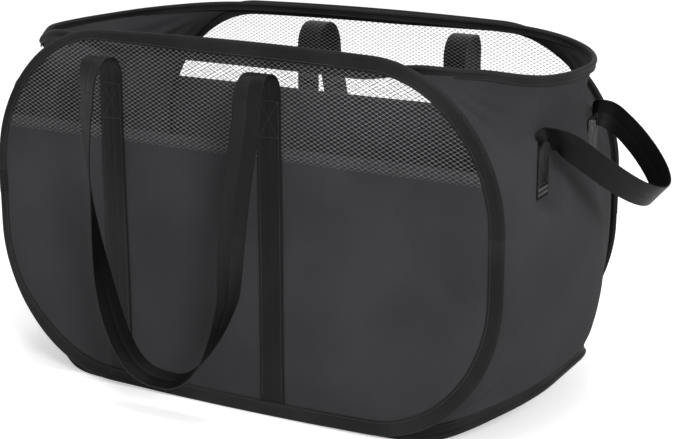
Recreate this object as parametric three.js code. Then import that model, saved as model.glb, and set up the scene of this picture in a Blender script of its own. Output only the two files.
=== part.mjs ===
// Pop-up laundry hamper: four spring-wire loops in folded binding tape carry fabric and net panels.
// Millimetres, +Z up, X along the long side, the front faces -Y.
// The origin lies on the floor, under the middle of the base.
import * as THREE from 'three';

// Overall sizes
const panelWidth = 620;
const panelHeight = 405;
const panelSpacing = 326;
const panelCornerWidth = 146;
const panelEndFlat = 65;
const panelCrown = 9;
const rimWidth = 648;
const rimCornerWidth = 144;
const rimCornerDepth = 148;
const rimDrop = 16.7;
const rimEndSag = 16;
const baseWidth = 637;
const baseCornerWidth = 104;
const baseCornerDepth = 85;
const baseEndLift = 36;
const baseFlatWidth = 400;
const netHeight = 120;

// Wire, tape and cloth
const clearance = 0.3;
const wireRadius = 1.2;
const sleeveWall = 0.4;
const sleeveLength = 25;
const tapeThickness = 0.7;
const bindingWidth = 17;
const clothThickness = 0.8;
const seamSetback = 2;
const flapGap = 0.5;

// Net windows
const gapPitchX = 30;
const gapPitchZ = 15;
const gapWidth = 21;
const gapHeight = 9;
const netMargin = 5;

// Long handles on the front and back
const webbingWidth = 29;
const webbingThickness = 1.6;
const handleSpan = 196;
const frontHandleOffset = -51;
const backHandleOffset = 5;
const stitchTopDrop = 53;
const archRise = 25;
const archReach = 22;
const archDrop = 40;
const archFlat = 3;
const loopFootHeight = 33;
const loopLean = 6;

// Short handles on the ends
const gripSpan = 140;
const gripStitchLength = 53;
const gripTopDrop = 96;
const gripArchRise = 8;
const gripArchReach = 8;
const gripArchFlat = 3;
const gripReach = 88;
const gripSoftBend = 25;
const gripSlopeShare = 0.92;

// How finely round stretches are stepped
const cornerSteps = 7;
const sectionSides = 6;
const clothColumns = 14;
const clothRows = 18;
const relaxRounds = 400;
const archSteps = 5;
const loopSteps = 26;
const probeShares = [0, 0.25, 0.5, 0.75];

// Shares of the sizes above, chosen by hand
const sideStationShares = [-0.62, -0.24, 0.24, 0.62];
const endStationShares = [-0.4, 0.4];
const topSeamStartShare = 0.31;
const bottomSeamStartShare = 0.04;
const cornerBlendShare = 0.3;
const heightTensionShare = 1;
const depthTensionShare = 0.08;
const twistEndShare = 0.36;
const gripTwistEndShare = 0.45;

// Sizes that follow from those above
const halfSpacing = panelSpacing / 2;
const panelCornerHeight = (panelHeight - panelEndFlat) / 2;
const netSeamHeight = panelHeight - netHeight;
const stitchTopHeight = panelHeight - stitchTopDrop;
const gripStitchTop = panelHeight - gripTopDrop;
const gripStitchBottom = gripStitchTop - gripStitchLength;
const foldBore = wireRadius + clearance + sleeveWall + clearance;
const foldRadius = foldBore + tapeThickness;
const flatToCorner = 1 / Math.cos(Math.PI / sectionSides);
const foldHalf = foldRadius * flatToCorner;
const legInner = clothThickness / 2 + clearance;
const legOuter = legInner + tapeThickness;
const panelInset = foldHalf + foldBore * flatToCorner;
const loopBackset = foldHalf + clearance;
const crossDepth = panelSpacing - 2 * loopBackset;
const rimTop = panelHeight - rimDrop;
const seamInset = bindingWidth + seamSetback;
const baseMid = foldRadius;
const clothFace = clothThickness / 2 + clearance;
const webbingFace = clothFace + webbingThickness / 2;
const crownHeight = stitchTopHeight + archRise;
const loopLength = crownHeight - archDrop - loopFootHeight;

// Colours
const darkTape = { color: 0x26262a, roughness: 0.85, metalness: 0 };
const charcoalCloth = { color: 0x434346, roughness: 0.9, metalness: 0 };
const netYarn = { color: 0x4c4c4f, roughness: 0.85, metalness: 0 };
const blackWebbing = { color: 0x1c1c1f, roughness: 0.6, metalness: 0 };
const springSteel = { color: 0x8a8d90, roughness: 0.35, metalness: 1 };
const platedSteel = { color: 0xa9acae, roughness: 0.3, metalness: 1 };

const group = new THREE.Group();

function addPiece(name, geometry, finish) {
  const mesh = new THREE.Mesh(geometry, new THREE.MeshStandardMaterial(finish));
  mesh.name = name;
  group.add(mesh);
  return mesh;
}

// Closed solids from rings of points

function solidFrom(points, triangles) {
  let volume = 0;
  for (const [a, b, c] of triangles) {
    volume += points[a].dot(new THREE.Vector3().crossVectors(points[b], points[c]));
  }
  const outward = volume > 0 ? triangles : triangles.map(([a, b, c]) => [a, c, b]);
  const geometry = new THREE.BufferGeometry().setFromPoints(points);
  geometry.setIndex(outward.flat());
  geometry.computeVertexNormals();
  return geometry;
}

// Joins rings of equally many points. The rings close on themselves, or flat caps end them.
function loft(rings, closed) {
  const size = rings[0].length;
  const triangles = [];
  const spans = closed ? rings.length : rings.length - 1;
  for (let i = 0; i < spans; i++) {
    const here = i * size;
    const next = ((i + 1) % rings.length) * size;
    for (let j = 0; j < size; j++) {
      const k = (j + 1) % size;
      triangles.push([here + j, next + j, next + k], [here + j, next + k, here + k]);
    }
  }
  if (!closed) {
    const last = (rings.length - 1) * size;
    for (let j = 1; j < size - 1; j++) {
      triangles.push([0, j, j + 1], [last, last + j + 1, last + j]);
    }
  }
  return solidFrom(rings.flat(), triangles);
}

// The wire loops

// A rounded rectangle with elliptical corners and bowed long sides. Each station holds a point
// of the outline and the vector that moves it outward by one unit, square to both sides there.
function outlineOf({ width, height, cornerWidth, cornerHeight, crown }) {
  const a = width / 2;
  const b = height / 2;
  const points = [];
  const addStation = (x, y) => points.push(new THREE.Vector2(x, y * (1 - (crown / b) * (x / a) ** 2)));
  const corners = [[1, 1], [-1, 1], [-1, -1], [1, -1]];
  corners.forEach(([signX, signY], index) => {
    for (let step = 0; step <= cornerSteps; step++) {
      const share = index % 2 ? 1 - step / cornerSteps : step / cornerSteps;
      const angle = share * Math.PI / 2;
      addStation(
        signX * (a - cornerWidth * (1 - Math.cos(angle))),
        signY * (b - cornerHeight * (1 - Math.sin(angle))),
      );
    }
    if (index % 2 === 0) {
      sideStationShares.forEach((share) => addStation(-signX * share * (a - cornerWidth), signY * b));
    } else if (b > cornerHeight) {
      endStationShares.forEach((share) => addStation(signX * a, -signY * share * (b - cornerHeight)));
    }
  });
  return points.map((point, index) => {
    const before = points[(index + points.length - 1) % points.length];
    const after = points[(index + 1) % points.length];
    const inSide = point.clone().sub(before).normalize();
    const outSide = after.clone().sub(point).normalize();
    const first = new THREE.Vector2(inSide.y, -inSide.x);
    const second = new THREE.Vector2(outSide.y, -outSide.x);
    const miter = first.clone().add(second).divideScalar(1 + first.dot(second));
    return { point, miter };
  });
}

const panelOutline = outlineOf({
  width: panelWidth,
  height: panelHeight,
  cornerWidth: panelCornerWidth,
  cornerHeight: panelCornerHeight,
  crown: panelCrown,
});
const rimOutline = outlineOf({
  width: rimWidth,
  height: crossDepth,
  cornerWidth: rimCornerWidth,
  cornerHeight: rimCornerDepth,
  crown: 0,
});
const baseOutline = outlineOf({
  width: baseWidth,
  height: crossDepth,
  cornerWidth: baseCornerWidth,
  cornerHeight: baseCornerDepth,
  crown: 0,
});

function baseLift(x) {
  const past = Math.max(Math.abs(x) - baseFlatWidth / 2, 0);
  return baseEndLift * (past / (baseWidth / 2 - baseFlatWidth / 2)) ** 2;
}

function rimSag(x) {
  return rimEndSag * Math.abs(2 * x / rimWidth) ** 3;
}

// A frame turns a station, a depth into the loop and an offset across it into a place in space.
function uprightFrame(side) {
  return ({ point, miter }, depth, across) => new THREE.Vector3(
    point.x - miter.x * depth,
    side * halfSpacing + across,
    panelHeight / 2 + point.y - miter.y * depth,
  );
}

function baseFrame({ point, miter }, depth, across) {
  const x = point.x - miter.x * depth;
  return new THREE.Vector3(x, point.y - miter.y * depth, baseMid + baseLift(x) + across);
}

function rimFrame({ point, miter }, depth, across) {
  return new THREE.Vector3(
    point.x - miter.x * (foldRadius - across),
    point.y - miter.y * (foldRadius - across),
    rimTop - rimSag(point.x) - depth,
  );
}

// The tape's section: two legs on the cloth and a six-sided fold round the wire, a corner outward.
function bindingSection() {
  const bore = foldBore * flatToCorner;
  const half = (radius, corner, leg) => [
    [foldHalf - corner / 2, radius],
    [foldHalf + corner / 2, radius],
    [foldHalf + corner / 2 + radius - leg, leg],
    [bindingWidth, leg],
  ];
  const mirrored = (points) => points.map(([depth, across]) => [depth, -across]).reverse();
  const wall = half(foldRadius, foldHalf, legOuter);
  const lining = half(foldBore, bore, legInner).reverse();
  return [[0, 0], ...wall, ...lining, [foldHalf - bore, 0], ...mirrored(lining), ...mirrored(wall)];
}

function roundSection(radius) {
  const section = [];
  for (let k = 0; k < sectionSides; k++) {
    const angle = k * 2 * Math.PI / sectionSides;
    const reach = radius * flatToCorner;
    section.push([foldHalf - reach * Math.cos(angle), reach * Math.sin(angle)]);
  }
  return section;
}

function ringsAlong(outline, frame, section) {
  return outline.map((station) => section.map(([depth, across]) => frame(station, depth, across)));
}

// The crimped tube over the butted wire ends, in the middle of one long side.
function sleeveSolid(outline, frame, side) {
  const { point } = outline.reduce((best, station) => {
    const nearer = Math.abs(station.point.x) < Math.abs(best.point.x);
    return station.point.y * side > 0 && (nearer || best.point.y * side < 0) ? station : best;
  });
  const miter = new THREE.Vector2(0, side);
  const ends = [-sleeveLength / 2, sleeveLength / 2];
  const stations = ends.map((x) => ({ point: new THREE.Vector2(x, point.y), miter }));
  const outer = roundSection(wireRadius + clearance + sleeveWall);
  const bore = roundSection(wireRadius + clearance);
  const ring = (station, section) => section.map(([depth, across]) => frame(station, depth, across));
  return loft([
    ring(stations[0], outer),
    ring(stations[1], outer),
    ring(stations[1], bore),
    ring(stations[0], bore),
  ], true);
}

function addLoop(prefix, outline, frame, sleeveSide) {
  addPiece(`${prefix}_binding`, loft(ringsAlong(outline, frame, bindingSection()), true), darkTape);
  addPiece(`${prefix}_spring_wire`, loft(ringsAlong(outline, frame, roundSection(wireRadius)), true),
    springSteel);
  addPiece(`${prefix}_wire_sleeve`, sleeveSolid(outline, frame, sleeveSide), platedSteel);
}

// The flat front and back: fabric below the seam, net above it

function insetOutline(outline, inset) {
  return outline.map(({ point, miter }) => point.clone().addScaledVector(miter, -inset));
}

// The part of an outline on one side of a level line, cut where its sides cross the line.
function cutAtLevel(points, level, keepAbove) {
  const kept = [];
  points.forEach((point, index) => {
    const next = points[(index + 1) % points.length];
    const inside = (point.y > level) === keepAbove;
    if (inside) kept.push(point);
    if (inside !== ((next.y > level) === keepAbove)) {
      kept.push(point.clone().lerp(next, (level - point.y) / (next.y - point.y)));
    }
  });
  return kept;
}

function insideOutline(points, x, y) {
  let inside = false;
  points.forEach((point, index) => {
    const next = points[(index + 1) % points.length];
    const crosses = (point.y > y) !== (next.y > y);
    if (crosses && x < point.x + (y - point.y) / (next.y - point.y) * (next.x - point.x)) inside = !inside;
  });
  return inside;
}

function netGaps(window) {
  const gaps = [];
  const rows = Math.ceil(panelHeight / gapPitchZ);
  const columns = Math.ceil(panelWidth / gapPitchX / 2);
  for (let row = 0; row < rows; row++) {
    const y = netSeamHeight - panelHeight / 2 + bindingWidth + row * gapPitchZ;
    const shift = row % 2 ? gapPitchX / 2 : 0;
    for (let column = -columns; column <= columns; column++) {
      const x = column * gapPitchX + shift;
      const corners = [[gapWidth / 2, 0], [0, gapHeight / 2], [-gapWidth / 2, 0], [0, -gapHeight / 2]];
      const whole = corners.every(([dx, dy]) => insideOutline(window, x + dx, y + dy));
      if (whole) gaps.push(new THREE.Path(corners.map(([dx, dy]) => new THREE.Vector2(x + dx, y + dy))));
    }
  }
  return gaps;
}

function uprightSheet(points, holes) {
  const shape = new THREE.Shape(points);
  shape.holes = holes;
  return new THREE.ExtrudeGeometry(shape, { depth: clothThickness, bevelEnabled: false });
}

function addUprightSheet(name, geometry, side, finish) {
  const mesh = addPiece(name, geometry, finish);
  mesh.rotation.x = Math.PI / 2;
  mesh.position.set(0, side * halfSpacing + clothThickness / 2, panelHeight / 2);
}

function addUprightPanel(prefix, side) {
  const edge = insetOutline(panelOutline, panelInset);
  const seam = netSeamHeight - panelHeight / 2;
  const window = cutAtLevel(insetOutline(panelOutline, bindingWidth + netMargin), seam, true);
  const fabric = cutAtLevel(edge, seam - clearance / 2, false);
  const net = cutAtLevel(edge, seam + clearance / 2, true);
  addUprightSheet(`${prefix}_panel`, uprightSheet(fabric, []), side, charcoalCloth);
  addUprightSheet(`${prefix}_mesh`, uprightSheet(net, netGaps(window)), side, netYarn);
}

// The base cloth bends up toward the ends with its loop.
function basePanel() {
  const cornerFoot = crossDepth / 2 - baseCornerDepth;
  const half = insetOutline(baseOutline.filter(({ point }) => point.y >= cornerFoot), panelInset);
  const rings = half.map(({ x, y }) => {
    const middle = baseMid + baseLift(x);
    const low = middle - clothThickness / 2;
    const high = middle + clothThickness / 2;
    return [
      new THREE.Vector3(x, -y, low),
      new THREE.Vector3(x, y, low),
      new THREE.Vector3(x, y, high),
      new THREE.Vector3(x, -y, high),
    ];
  });
  return loft(rings, false);
}

// The soft ends: cloth stretched between the four loops

// Points spread evenly along a line of stations.
function spread(points, count) {
  const curve = new THREE.CurvePath();
  for (let i = 0; i < points.length - 1; i++) curve.add(new THREE.LineCurve3(points[i], points[i + 1]));
  return curve.getSpacedPoints(count);
}

// The right-hand run of a loop between two heights of its outline, from low to high.
function rightRun(outline, lowShare, highShare) {
  const right = outline.filter(({ point }) => point.x > 0);
  const low = right.reduce((best, station) => (station.point.y < best.point.y ? station : best));
  const start = outline.indexOf(low);
  const ordered = outline.map((station, index) => outline[(start + index) % outline.length]);
  const run = ordered.filter(({ point }) => point.x > 0);
  const cornerStart = panelWidth / 2 - panelCornerWidth;
  const lowX = cornerStart + panelCornerWidth * Math.sin(lowShare * Math.PI / 2);
  const highX = cornerStart + panelCornerWidth * Math.sin(highShare * Math.PI / 2);
  return run.filter(({ point }) => point.x > (point.y < 0 ? lowX : highX));
}

// Four edges of the right end cloth, with the corners drawn together.
function endClothEdges() {
  const front = uprightFrame(-1);
  const face = clothFace + clothThickness / 2;
  const frontRun = rightRun(panelOutline, bottomSeamStartShare, topSeamStartShare);
  const frontEdge = spread(frontRun.map((station) => front(station, seamInset, face)), clothRows);
  const backEdge = frontEdge.map(({ x, y, z }) => new THREE.Vector3(x, -y, z));
  const topRun = rightRun(rimOutline, topSeamStartShare, topSeamStartShare);
  const topEdge = spread(topRun.map((station) => rimFrame(station, bindingWidth + flapGap, 0)), clothColumns);
  const bottomRun = rightRun(baseOutline, bottomSeamStartShare, bottomSeamStartShare);
  const bottomEdge = spread(
    bottomRun.map((station) => baseFrame(station, seamInset, clothFace + clothThickness / 2)),
    clothColumns,
  );
  const pull = (edge, index, target) => {
    const shift = target.clone().sub(edge[index]);
    const reach = cornerBlendShare * (edge.length - 1);
    edge.forEach((point, place) => {
      const share = Math.max(1 - Math.abs(place - index) / reach, 0);
      if (place !== index) point.addScaledVector(shift, share * share);
    });
    edge[index].copy(target);
  };
  const join = (edgeA, indexA, edgeB, indexB) => {
    const middle = edgeA[indexA].clone().lerp(edgeB[indexB], 0.5);
    pull(edgeA, indexA, middle);
    pull(edgeB, indexB, middle);
  };
  join(frontEdge, 0, bottomEdge, 0);
  join(frontEdge, clothRows, topEdge, 0);
  join(backEdge, 0, bottomEdge, clothColumns);
  join(backEdge, clothRows, topEdge, clothColumns);
  return { frontEdge, backEdge, topEdge, bottomEdge };
}

// The cloth's middle surface settles between its edges, drawn harder up and down than across.
function relaxedCloth({ frontEdge, backEdge, topEdge, bottomEdge }) {
  const grid = [];
  for (let row = 0; row <= clothRows; row++) {
    const v = row / clothRows;
    const line = [];
    for (let column = 0; column <= clothColumns; column++) {
      const u = column / clothColumns;
      const across = frontEdge[row].clone().lerp(backEdge[row], u);
      const up = bottomEdge[column].clone().lerp(topEdge[column], v);
      const low = bottomEdge[0].clone().lerp(bottomEdge[clothColumns], u);
      const high = topEdge[0].clone().lerp(topEdge[clothColumns], u);
      line.push(across.add(up).sub(low.lerp(high, v)));
    }
    grid.push(line);
  }
  const total = 2 * (heightTensionShare + depthTensionShare);
  for (let round = 0; round < relaxRounds; round++) {
    for (let row = 1; row < clothRows; row++) {
      for (let column = 1; column < clothColumns; column++) {
        const vertical = grid[row - 1][column].clone().add(grid[row + 1][column]);
        const level = grid[row][column - 1].clone().add(grid[row][column + 1]);
        grid[row][column].copy(
          vertical.multiplyScalar(heightTensionShare).addScaledVector(level, depthTensionShare)
            .divideScalar(total),
        );
      }
    }
  }
  return grid;
}

function gridNormal(grid, row, column) {
  const rows = grid.length - 1;
  const columns = grid[0].length - 1;
  const up = grid[Math.min(row + 1, rows)][column].clone().sub(grid[Math.max(row - 1, 0)][column]);
  const across = grid[row][Math.min(column + 1, columns)].clone().sub(grid[row][Math.max(column - 1, 0)]);
  return new THREE.Vector3().crossVectors(across, up).normalize();
}

function sheetSolid(grid, thickness) {
  const rows = grid.length;
  const columns = grid[0].length;
  const outer = [];
  const inner = [];
  grid.forEach((line, row) => line.forEach((point, column) => {
    const normal = gridNormal(grid, row, column);
    outer.push(point.clone().addScaledVector(normal, thickness / 2));
    inner.push(point.clone().addScaledVector(normal, -thickness / 2));
  }));
  const under = rows * columns;
  const at = (row, column) => row * columns + column;
  const triangles = [];
  for (let row = 0; row < rows - 1; row++) {
    for (let column = 0; column < columns - 1; column++) {
      const [a, b, c, d] = [at(row, column), at(row, column + 1), at(row + 1, column + 1), at(row + 1, column)];
      triangles.push([a, b, c], [a, c, d], [under + a, under + c, under + b], [under + a, under + d, under + c]);
    }
  }
  const border = [];
  for (let column = 0; column < columns - 1; column++) border.push(at(0, column));
  for (let row = 0; row < rows - 1; row++) border.push(at(row, columns - 1));
  for (let column = columns - 1; column > 0; column--) border.push(at(rows - 1, column));
  for (let row = rows - 1; row > 0; row--) border.push(at(row, 0));
  border.forEach((here, index) => {
    const next = border[(index + 1) % border.length];
    triangles.push([here, under + here, next], [next, under + here, under + next]);
  });
  return solidFrom([...outer, ...inner], triangles);
}

function mirrorGrid(grid) {
  return grid.map((line) => line.map(({ x, y, z }) => new THREE.Vector3(-x, y, z)));
}

// The cloth's outermost place across a strap's width, at one height.
function clothReach(grid, y, z) {
  let nearest = grid[0][0];
  let least = Infinity;
  const probe = new THREE.Vector3();
  for (let row = 0; row < grid.length - 1; row++) {
    for (let column = 0; column < grid[0].length - 1; column++) {
      for (const share of probeShares) {
        for (const rise of probeShares) {
          const low = grid[row][column].clone().lerp(grid[row][column + 1], share);
          const high = grid[row + 1][column].clone().lerp(grid[row + 1][column + 1], share);
          probe.copy(low).lerp(high, rise);
          const distance = Math.hypot(probe.y - y, probe.z - z);
          if (distance < least) {
            least = distance;
            nearest = probe.clone();
          }
        }
      }
    }
  }
  return nearest.x;
}

// Webbing

function smoothStep(share) {
  const clamped = Math.min(Math.max(share, 0), 1);
  return clamped * clamped * (3 - 2 * clamped);
}

// A strap along a path; wide gives the direction of its width at each point of the path.
function strapSolid(path, wide) {
  const rings = path.map((point, index) => {
    const before = path[Math.max(index - 1, 0)];
    const after = path[Math.min(index + 1, path.length - 1)];
    const along = after.clone().sub(before).normalize();
    const width = wide[index].clone().addScaledVector(along, -along.dot(wide[index])).normalize();
    const normal = new THREE.Vector3().crossVectors(along, width);
    const corners = [[1, 1], [-1, 1], [-1, -1], [1, -1]];
    return corners.map(([w, n]) => point.clone()
      .addScaledVector(width, w * webbingWidth / 2)
      .addScaledVector(normal, n * webbingThickness / 2));
  });
  return loft(rings, false);
}

// The height of the lower binding's free edge at one place along the panel.
function bindingEdgeHeight(x) {
  const edge = insetOutline(panelOutline, bindingWidth);
  const heights = edge.map((point, index) => {
    const next = edge[(index + 1) % edge.length];
    const crosses = point.y < 0 && next.y < 0 && (point.x > x) !== (next.x > x);
    return crosses ? point.y + (x - point.x) / (next.x - point.x) * (next.y - point.y) : -Infinity;
  });
  return panelHeight / 2 + Math.max(...heights);
}

// The sewn run of a long handle, up the panel's outer face and over to the crown of its arch.
function sewnStrap(x, side) {
  const foot = clearance + Math.max(
    bindingEdgeHeight(x - webbingWidth / 2),
    bindingEdgeHeight(x + webbingWidth / 2),
  );
  const face = halfSpacing + webbingFace;
  const path = [new THREE.Vector3(x, side * face, foot), new THREE.Vector3(x, side * face, stitchTopHeight)];
  for (let step = 1; step <= archSteps; step++) {
    const angle = step / archSteps * Math.PI / 2;
    const out = (archReach - archFlat) * (1 - Math.cos(angle));
    path.push(new THREE.Vector3(x, side * (face + out), stitchTopHeight + archRise * Math.sin(angle)));
  }
  path.push(new THREE.Vector3(x, side * (face + archReach - clearance / 2), crownHeight));
  return strapSolid(path, path.map(() => new THREE.Vector3(1, 0, 0)));
}

// The free loop of a long handle: out over the crown, down one leg, round and up the other.
function handleLoop(centreX, side) {
  const crown = halfSpacing + webbingFace + archReach;
  const half = handleSpan / 2;
  const path = [new THREE.Vector3(centreX - half, side * (crown + clearance / 2), crownHeight)];
  const wide = [new THREE.Vector3(1, 0, 0)];
  for (let step = 0; step < archSteps; step++) {
    const angle = step / archSteps * Math.PI / 2;
    const out = archFlat + (archReach - archFlat) * Math.sin(angle);
    path.push(new THREE.Vector3(centreX - half, side * (crown + out),
      crownHeight - archDrop * (1 - Math.cos(angle))));
    wide.push(new THREE.Vector3(1, 0, 0));
  }
  for (let step = 0; step <= loopSteps / 2; step++) {
    const share = step / (loopSteps / 2);
    const angle = share * Math.PI / 2;
    const turn = smoothStep(share / twistEndShare) * Math.PI / 2;
    path.push(new THREE.Vector3(centreX - half * Math.cos(angle),
      side * (crown + archReach + loopLean * Math.sin(angle)),
      crownHeight - archDrop - loopLength * Math.sin(angle)));
    const inPlane = new THREE.Vector3(Math.cos(angle * angle), 0, Math.sin(angle * angle));
    wide.push(inPlane.multiplyScalar(Math.cos(turn)).add(new THREE.Vector3(0, side * Math.sin(turn), 0)));
  }
  const mirrorPoint = ({ x, y, z }) => new THREE.Vector3(2 * centreX - x, y, z);
  const mirrorWide = ({ x, y, z }) => new THREE.Vector3(x, -y, -z);
  const otherPath = path.slice(0, -1).map(mirrorPoint).reverse();
  const otherWide = wide.slice(0, -1).map(mirrorWide).reverse();
  const flip = wide[wide.length - 1].dot(otherWide[0]) < 0 ? -1 : 1;
  otherWide.forEach((width) => width.multiplyScalar(flip));
  return strapSolid([...path, ...otherPath], [...wide, ...otherWide]);
}

// The sewn tail of a short handle, up the end cloth and over to its crown.
function gripTail(grid, side, y) {
  const face = gripFace(grid);
  const path = [gripStitchBottom, gripStitchTop].map((z) => new THREE.Vector3(side * face, y, z));
  for (let step = 1; step <= archSteps; step++) {
    const angle = step / archSteps * Math.PI / 2;
    const out = (gripArchReach - gripArchFlat) * (1 - Math.cos(angle));
    path.push(new THREE.Vector3(side * (face + out), y, gripStitchTop + gripArchRise * Math.sin(angle)));
  }
  path.push(new THREE.Vector3(side * (face + gripArchReach - clearance / 2), y, gripStitchTop + gripArchRise));
  return strapSolid(path, path.map(() => new THREE.Vector3(0, 1, 0)));
}

function gripFace(grid) {
  const places = [-gripSpan / 2 - webbingWidth / 2, -gripSpan / 2, -gripSpan / 2 + webbingWidth / 2];
  const heights = [gripStitchBottom, (gripStitchBottom + gripStitchTop) / 2, gripStitchTop];
  const reach = places.flatMap((y) => heights.map((z) => clothReach(grid, y, z)));
  return Math.max(...reach) + webbingFace + clearance;
}

// The free loop of a short handle: out from both crowns and drooping, the left a half turn of the right.
function gripLoop(grid, side) {
  const crown = gripFace(grid) + gripArchReach;
  const top = gripStitchTop + gripArchRise;
  const end = (y) => new THREE.Vector3(side * (crown + clearance / 2), side * y, top);
  const path = [end(-gripSpan / 2)];
  const wide = [new THREE.Vector3(0, -side, 0)];
  for (let step = 0; step <= loopSteps; step++) {
    const share = step / loopSteps;
    const angle = share * Math.PI;
    const out = gripReach * Math.sin(angle);
    const drop = gripSlopeShare * out * out / (out + gripSoftBend);
    const slope = gripSlopeShare * out * (out + 2 * gripSoftBend) / (out + gripSoftBend) ** 2;
    const y = -side * gripSpan / 2 * Math.cos(angle);
    path.push(new THREE.Vector3(side * (crown + gripArchFlat + out), y, top - drop));
    const fromEnd = Math.min(share, 1 - share) * 2;
    const turn = smoothStep(fromEnd / gripTwistEndShare) * Math.PI / 2;
    const upright = new THREE.Vector3(side * slope, 0, 1).normalize();
    const level = new THREE.Vector3(0, share < 0.5 ? -side : side, 0);
    wide.push(upright.multiplyScalar(Math.sin(turn)).addScaledVector(level, Math.cos(turn)));
  }
  path.push(end(gripSpan / 2));
  wide.push(new THREE.Vector3(0, side, 0));
  return strapSolid(path, wide);
}

// The whole hamper

function addFace(prefix, side, handleOffset) {
  addLoop(prefix, panelOutline, uprightFrame(side), -1);
  addUprightPanel(prefix, side);
  addPiece(`${prefix}_handle_strap_left`, sewnStrap(handleOffset - handleSpan / 2, side), blackWebbing);
  addPiece(`${prefix}_handle_strap_right`, sewnStrap(handleOffset + handleSpan / 2, side), blackWebbing);
  addPiece(`${prefix}_handle_loop`, handleLoop(handleOffset, side), blackWebbing);
}

function addEnd(prefix, side, cloth) {
  addPiece(`${prefix}_end_panel`, sheetSolid(side > 0 ? cloth : mirrorGrid(cloth), clothThickness),
    charcoalCloth);
  addPiece(`${prefix}_handle_tail_front`, gripTail(cloth, side, -gripSpan / 2), blackWebbing);
  addPiece(`${prefix}_handle_tail_back`, gripTail(cloth, side, gripSpan / 2), blackWebbing);
  addPiece(`${prefix}_handle_loop`, gripLoop(cloth, side), blackWebbing);
}

addLoop('base', baseOutline, baseFrame, 1);
addPiece('base_panel', basePanel(), charcoalCloth);
addFace('front', -1, frontHandleOffset);
addFace('back', 1, backHandleOffset);
addLoop('rim', rimOutline, rimFrame, -1);
const endCloth = relaxedCloth(endClothEdges());
addEnd('left', -1, endCloth);
addEnd('right', 1, endCloth);

export default group;
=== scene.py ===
"""The looks of a pop-up laundry hamper: cloth, net, binding tape, webbing and thread on its fixed frame."""

import logging
import math
from dataclasses import dataclass
from enum import Enum
from typing import Callable

import bmesh
import bpy
import numpy as np
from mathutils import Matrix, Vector


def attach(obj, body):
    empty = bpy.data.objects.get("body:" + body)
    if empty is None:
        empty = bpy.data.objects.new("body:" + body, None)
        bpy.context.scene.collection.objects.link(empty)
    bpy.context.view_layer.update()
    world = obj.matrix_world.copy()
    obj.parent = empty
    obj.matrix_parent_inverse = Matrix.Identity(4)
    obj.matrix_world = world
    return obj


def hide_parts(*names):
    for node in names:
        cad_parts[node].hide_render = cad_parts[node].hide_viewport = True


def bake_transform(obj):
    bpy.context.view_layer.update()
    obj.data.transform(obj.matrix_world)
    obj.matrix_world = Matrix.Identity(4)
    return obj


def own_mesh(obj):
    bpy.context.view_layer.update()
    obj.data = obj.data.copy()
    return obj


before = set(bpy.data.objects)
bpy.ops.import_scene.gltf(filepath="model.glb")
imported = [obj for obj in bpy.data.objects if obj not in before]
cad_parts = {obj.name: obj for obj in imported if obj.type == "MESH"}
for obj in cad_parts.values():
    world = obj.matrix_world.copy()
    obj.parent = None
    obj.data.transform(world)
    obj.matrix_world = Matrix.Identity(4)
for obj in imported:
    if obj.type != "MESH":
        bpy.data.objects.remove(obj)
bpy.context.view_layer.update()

LOG = logging.getLogger("hamper")
MM = 0.001
TOUCHING = 1e-7
Array = np.ndarray
Placed = tuple[Array, Array]
Ramp = tuple[float, float]


class Body(Enum):
    """The moving bodies that a piece can ride on."""

    BASE = "base"
    FRONT = "front_face"
    BACK = "back_face"
    RIM = "rim"
    FRONT_HANDLE = "front_handle"
    BACK_HANDLE = "back_handle"
    LEFT_SEAT = "left_grip_seat"
    LEFT_GRIP = "left_grip"
    RIGHT_SEAT = "right_grip_seat"
    RIGHT_GRIP = "right_grip"


class Slot(Enum):
    """The finishes that the record names."""

    CLOTH = "charcoal_cloth"
    NET = "net_yarn"
    TAPE = "dark_tape"
    WEBBING = "black_webbing"
    WIRE = "spring_steel"
    TUBE = "plated_steel"


class Lie(Enum):
    """How a wire loop lies in the hamper."""

    FRONT = "front"
    BACK = "back"
    BASE = "base"
    RIM = "rim"


# Shader parts


class Nodes:
    """A short hand for building one node tree."""

    def __init__(self, tree: bpy.types.NodeTree) -> None:
        """Starts on a tree.

        Args:
            tree: The tree that receives the nodes.
        """
        self.tree = tree

    def add(self, kind: str, **values: object) -> bpy.types.Node:
        """Adds a node, and sets its properties and sockets.

        Args:
            kind: The node's type without its ShaderNode prefix.
            values: A property by its name, or a socket by its name with spaces as underscores.

        Returns:
            The new node.
        """
        node = self.tree.nodes.new(kind if kind.startswith("Node") else f"ShaderNode{kind}")
        for name, value in values.items():
            if hasattr(node, name) and name not in ("inputs", "outputs"):
                setattr(node, name, value)
            else:
                self.feed(node, name.replace("_", " "), value)
        return node

    def feed(self, node: bpy.types.Node, name: str | int, value: object) -> None:
        """Links an output to a socket, or sets the socket's own value.

        Args:
            node: The node that owns the socket.
            name: The socket's name or index.
            value: An output socket, or a plain value.
        """
        socket = node.inputs[name]
        if isinstance(value, bpy.types.NodeSocket):
            self.tree.links.new(value, socket)
        else:
            socket.default_value = value

    def math(
        self, operation: str, first: object, second: object = 0.0, third: object = 0.0,
    ) -> bpy.types.NodeSocket:
        """Adds a Math node.

        Args:
            operation: Its operation.
            first: The first input.
            second: The second input.
            third: The third input.

        Returns:
            Its output.
        """
        node = self.add("Math", operation=operation)
        for index, value in enumerate((first, second, third)):
            self.feed(node, index, value)
        return node.outputs[0]

    def mix_colors(self, share: object, first: object, second: object) -> bpy.types.NodeSocket:
        """Mixes two colours.

        Args:
            share: How much of the second shows.
            first: The first colour.
            second: The second colour.

        Returns:
            The mixed colour.
        """
        node = self.add("Mix", data_type="RGBA")
        self.feed(node, 0, share)
        self.feed(node, 6, first)
        self.feed(node, 7, second)
        return node.outputs[2]


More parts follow.
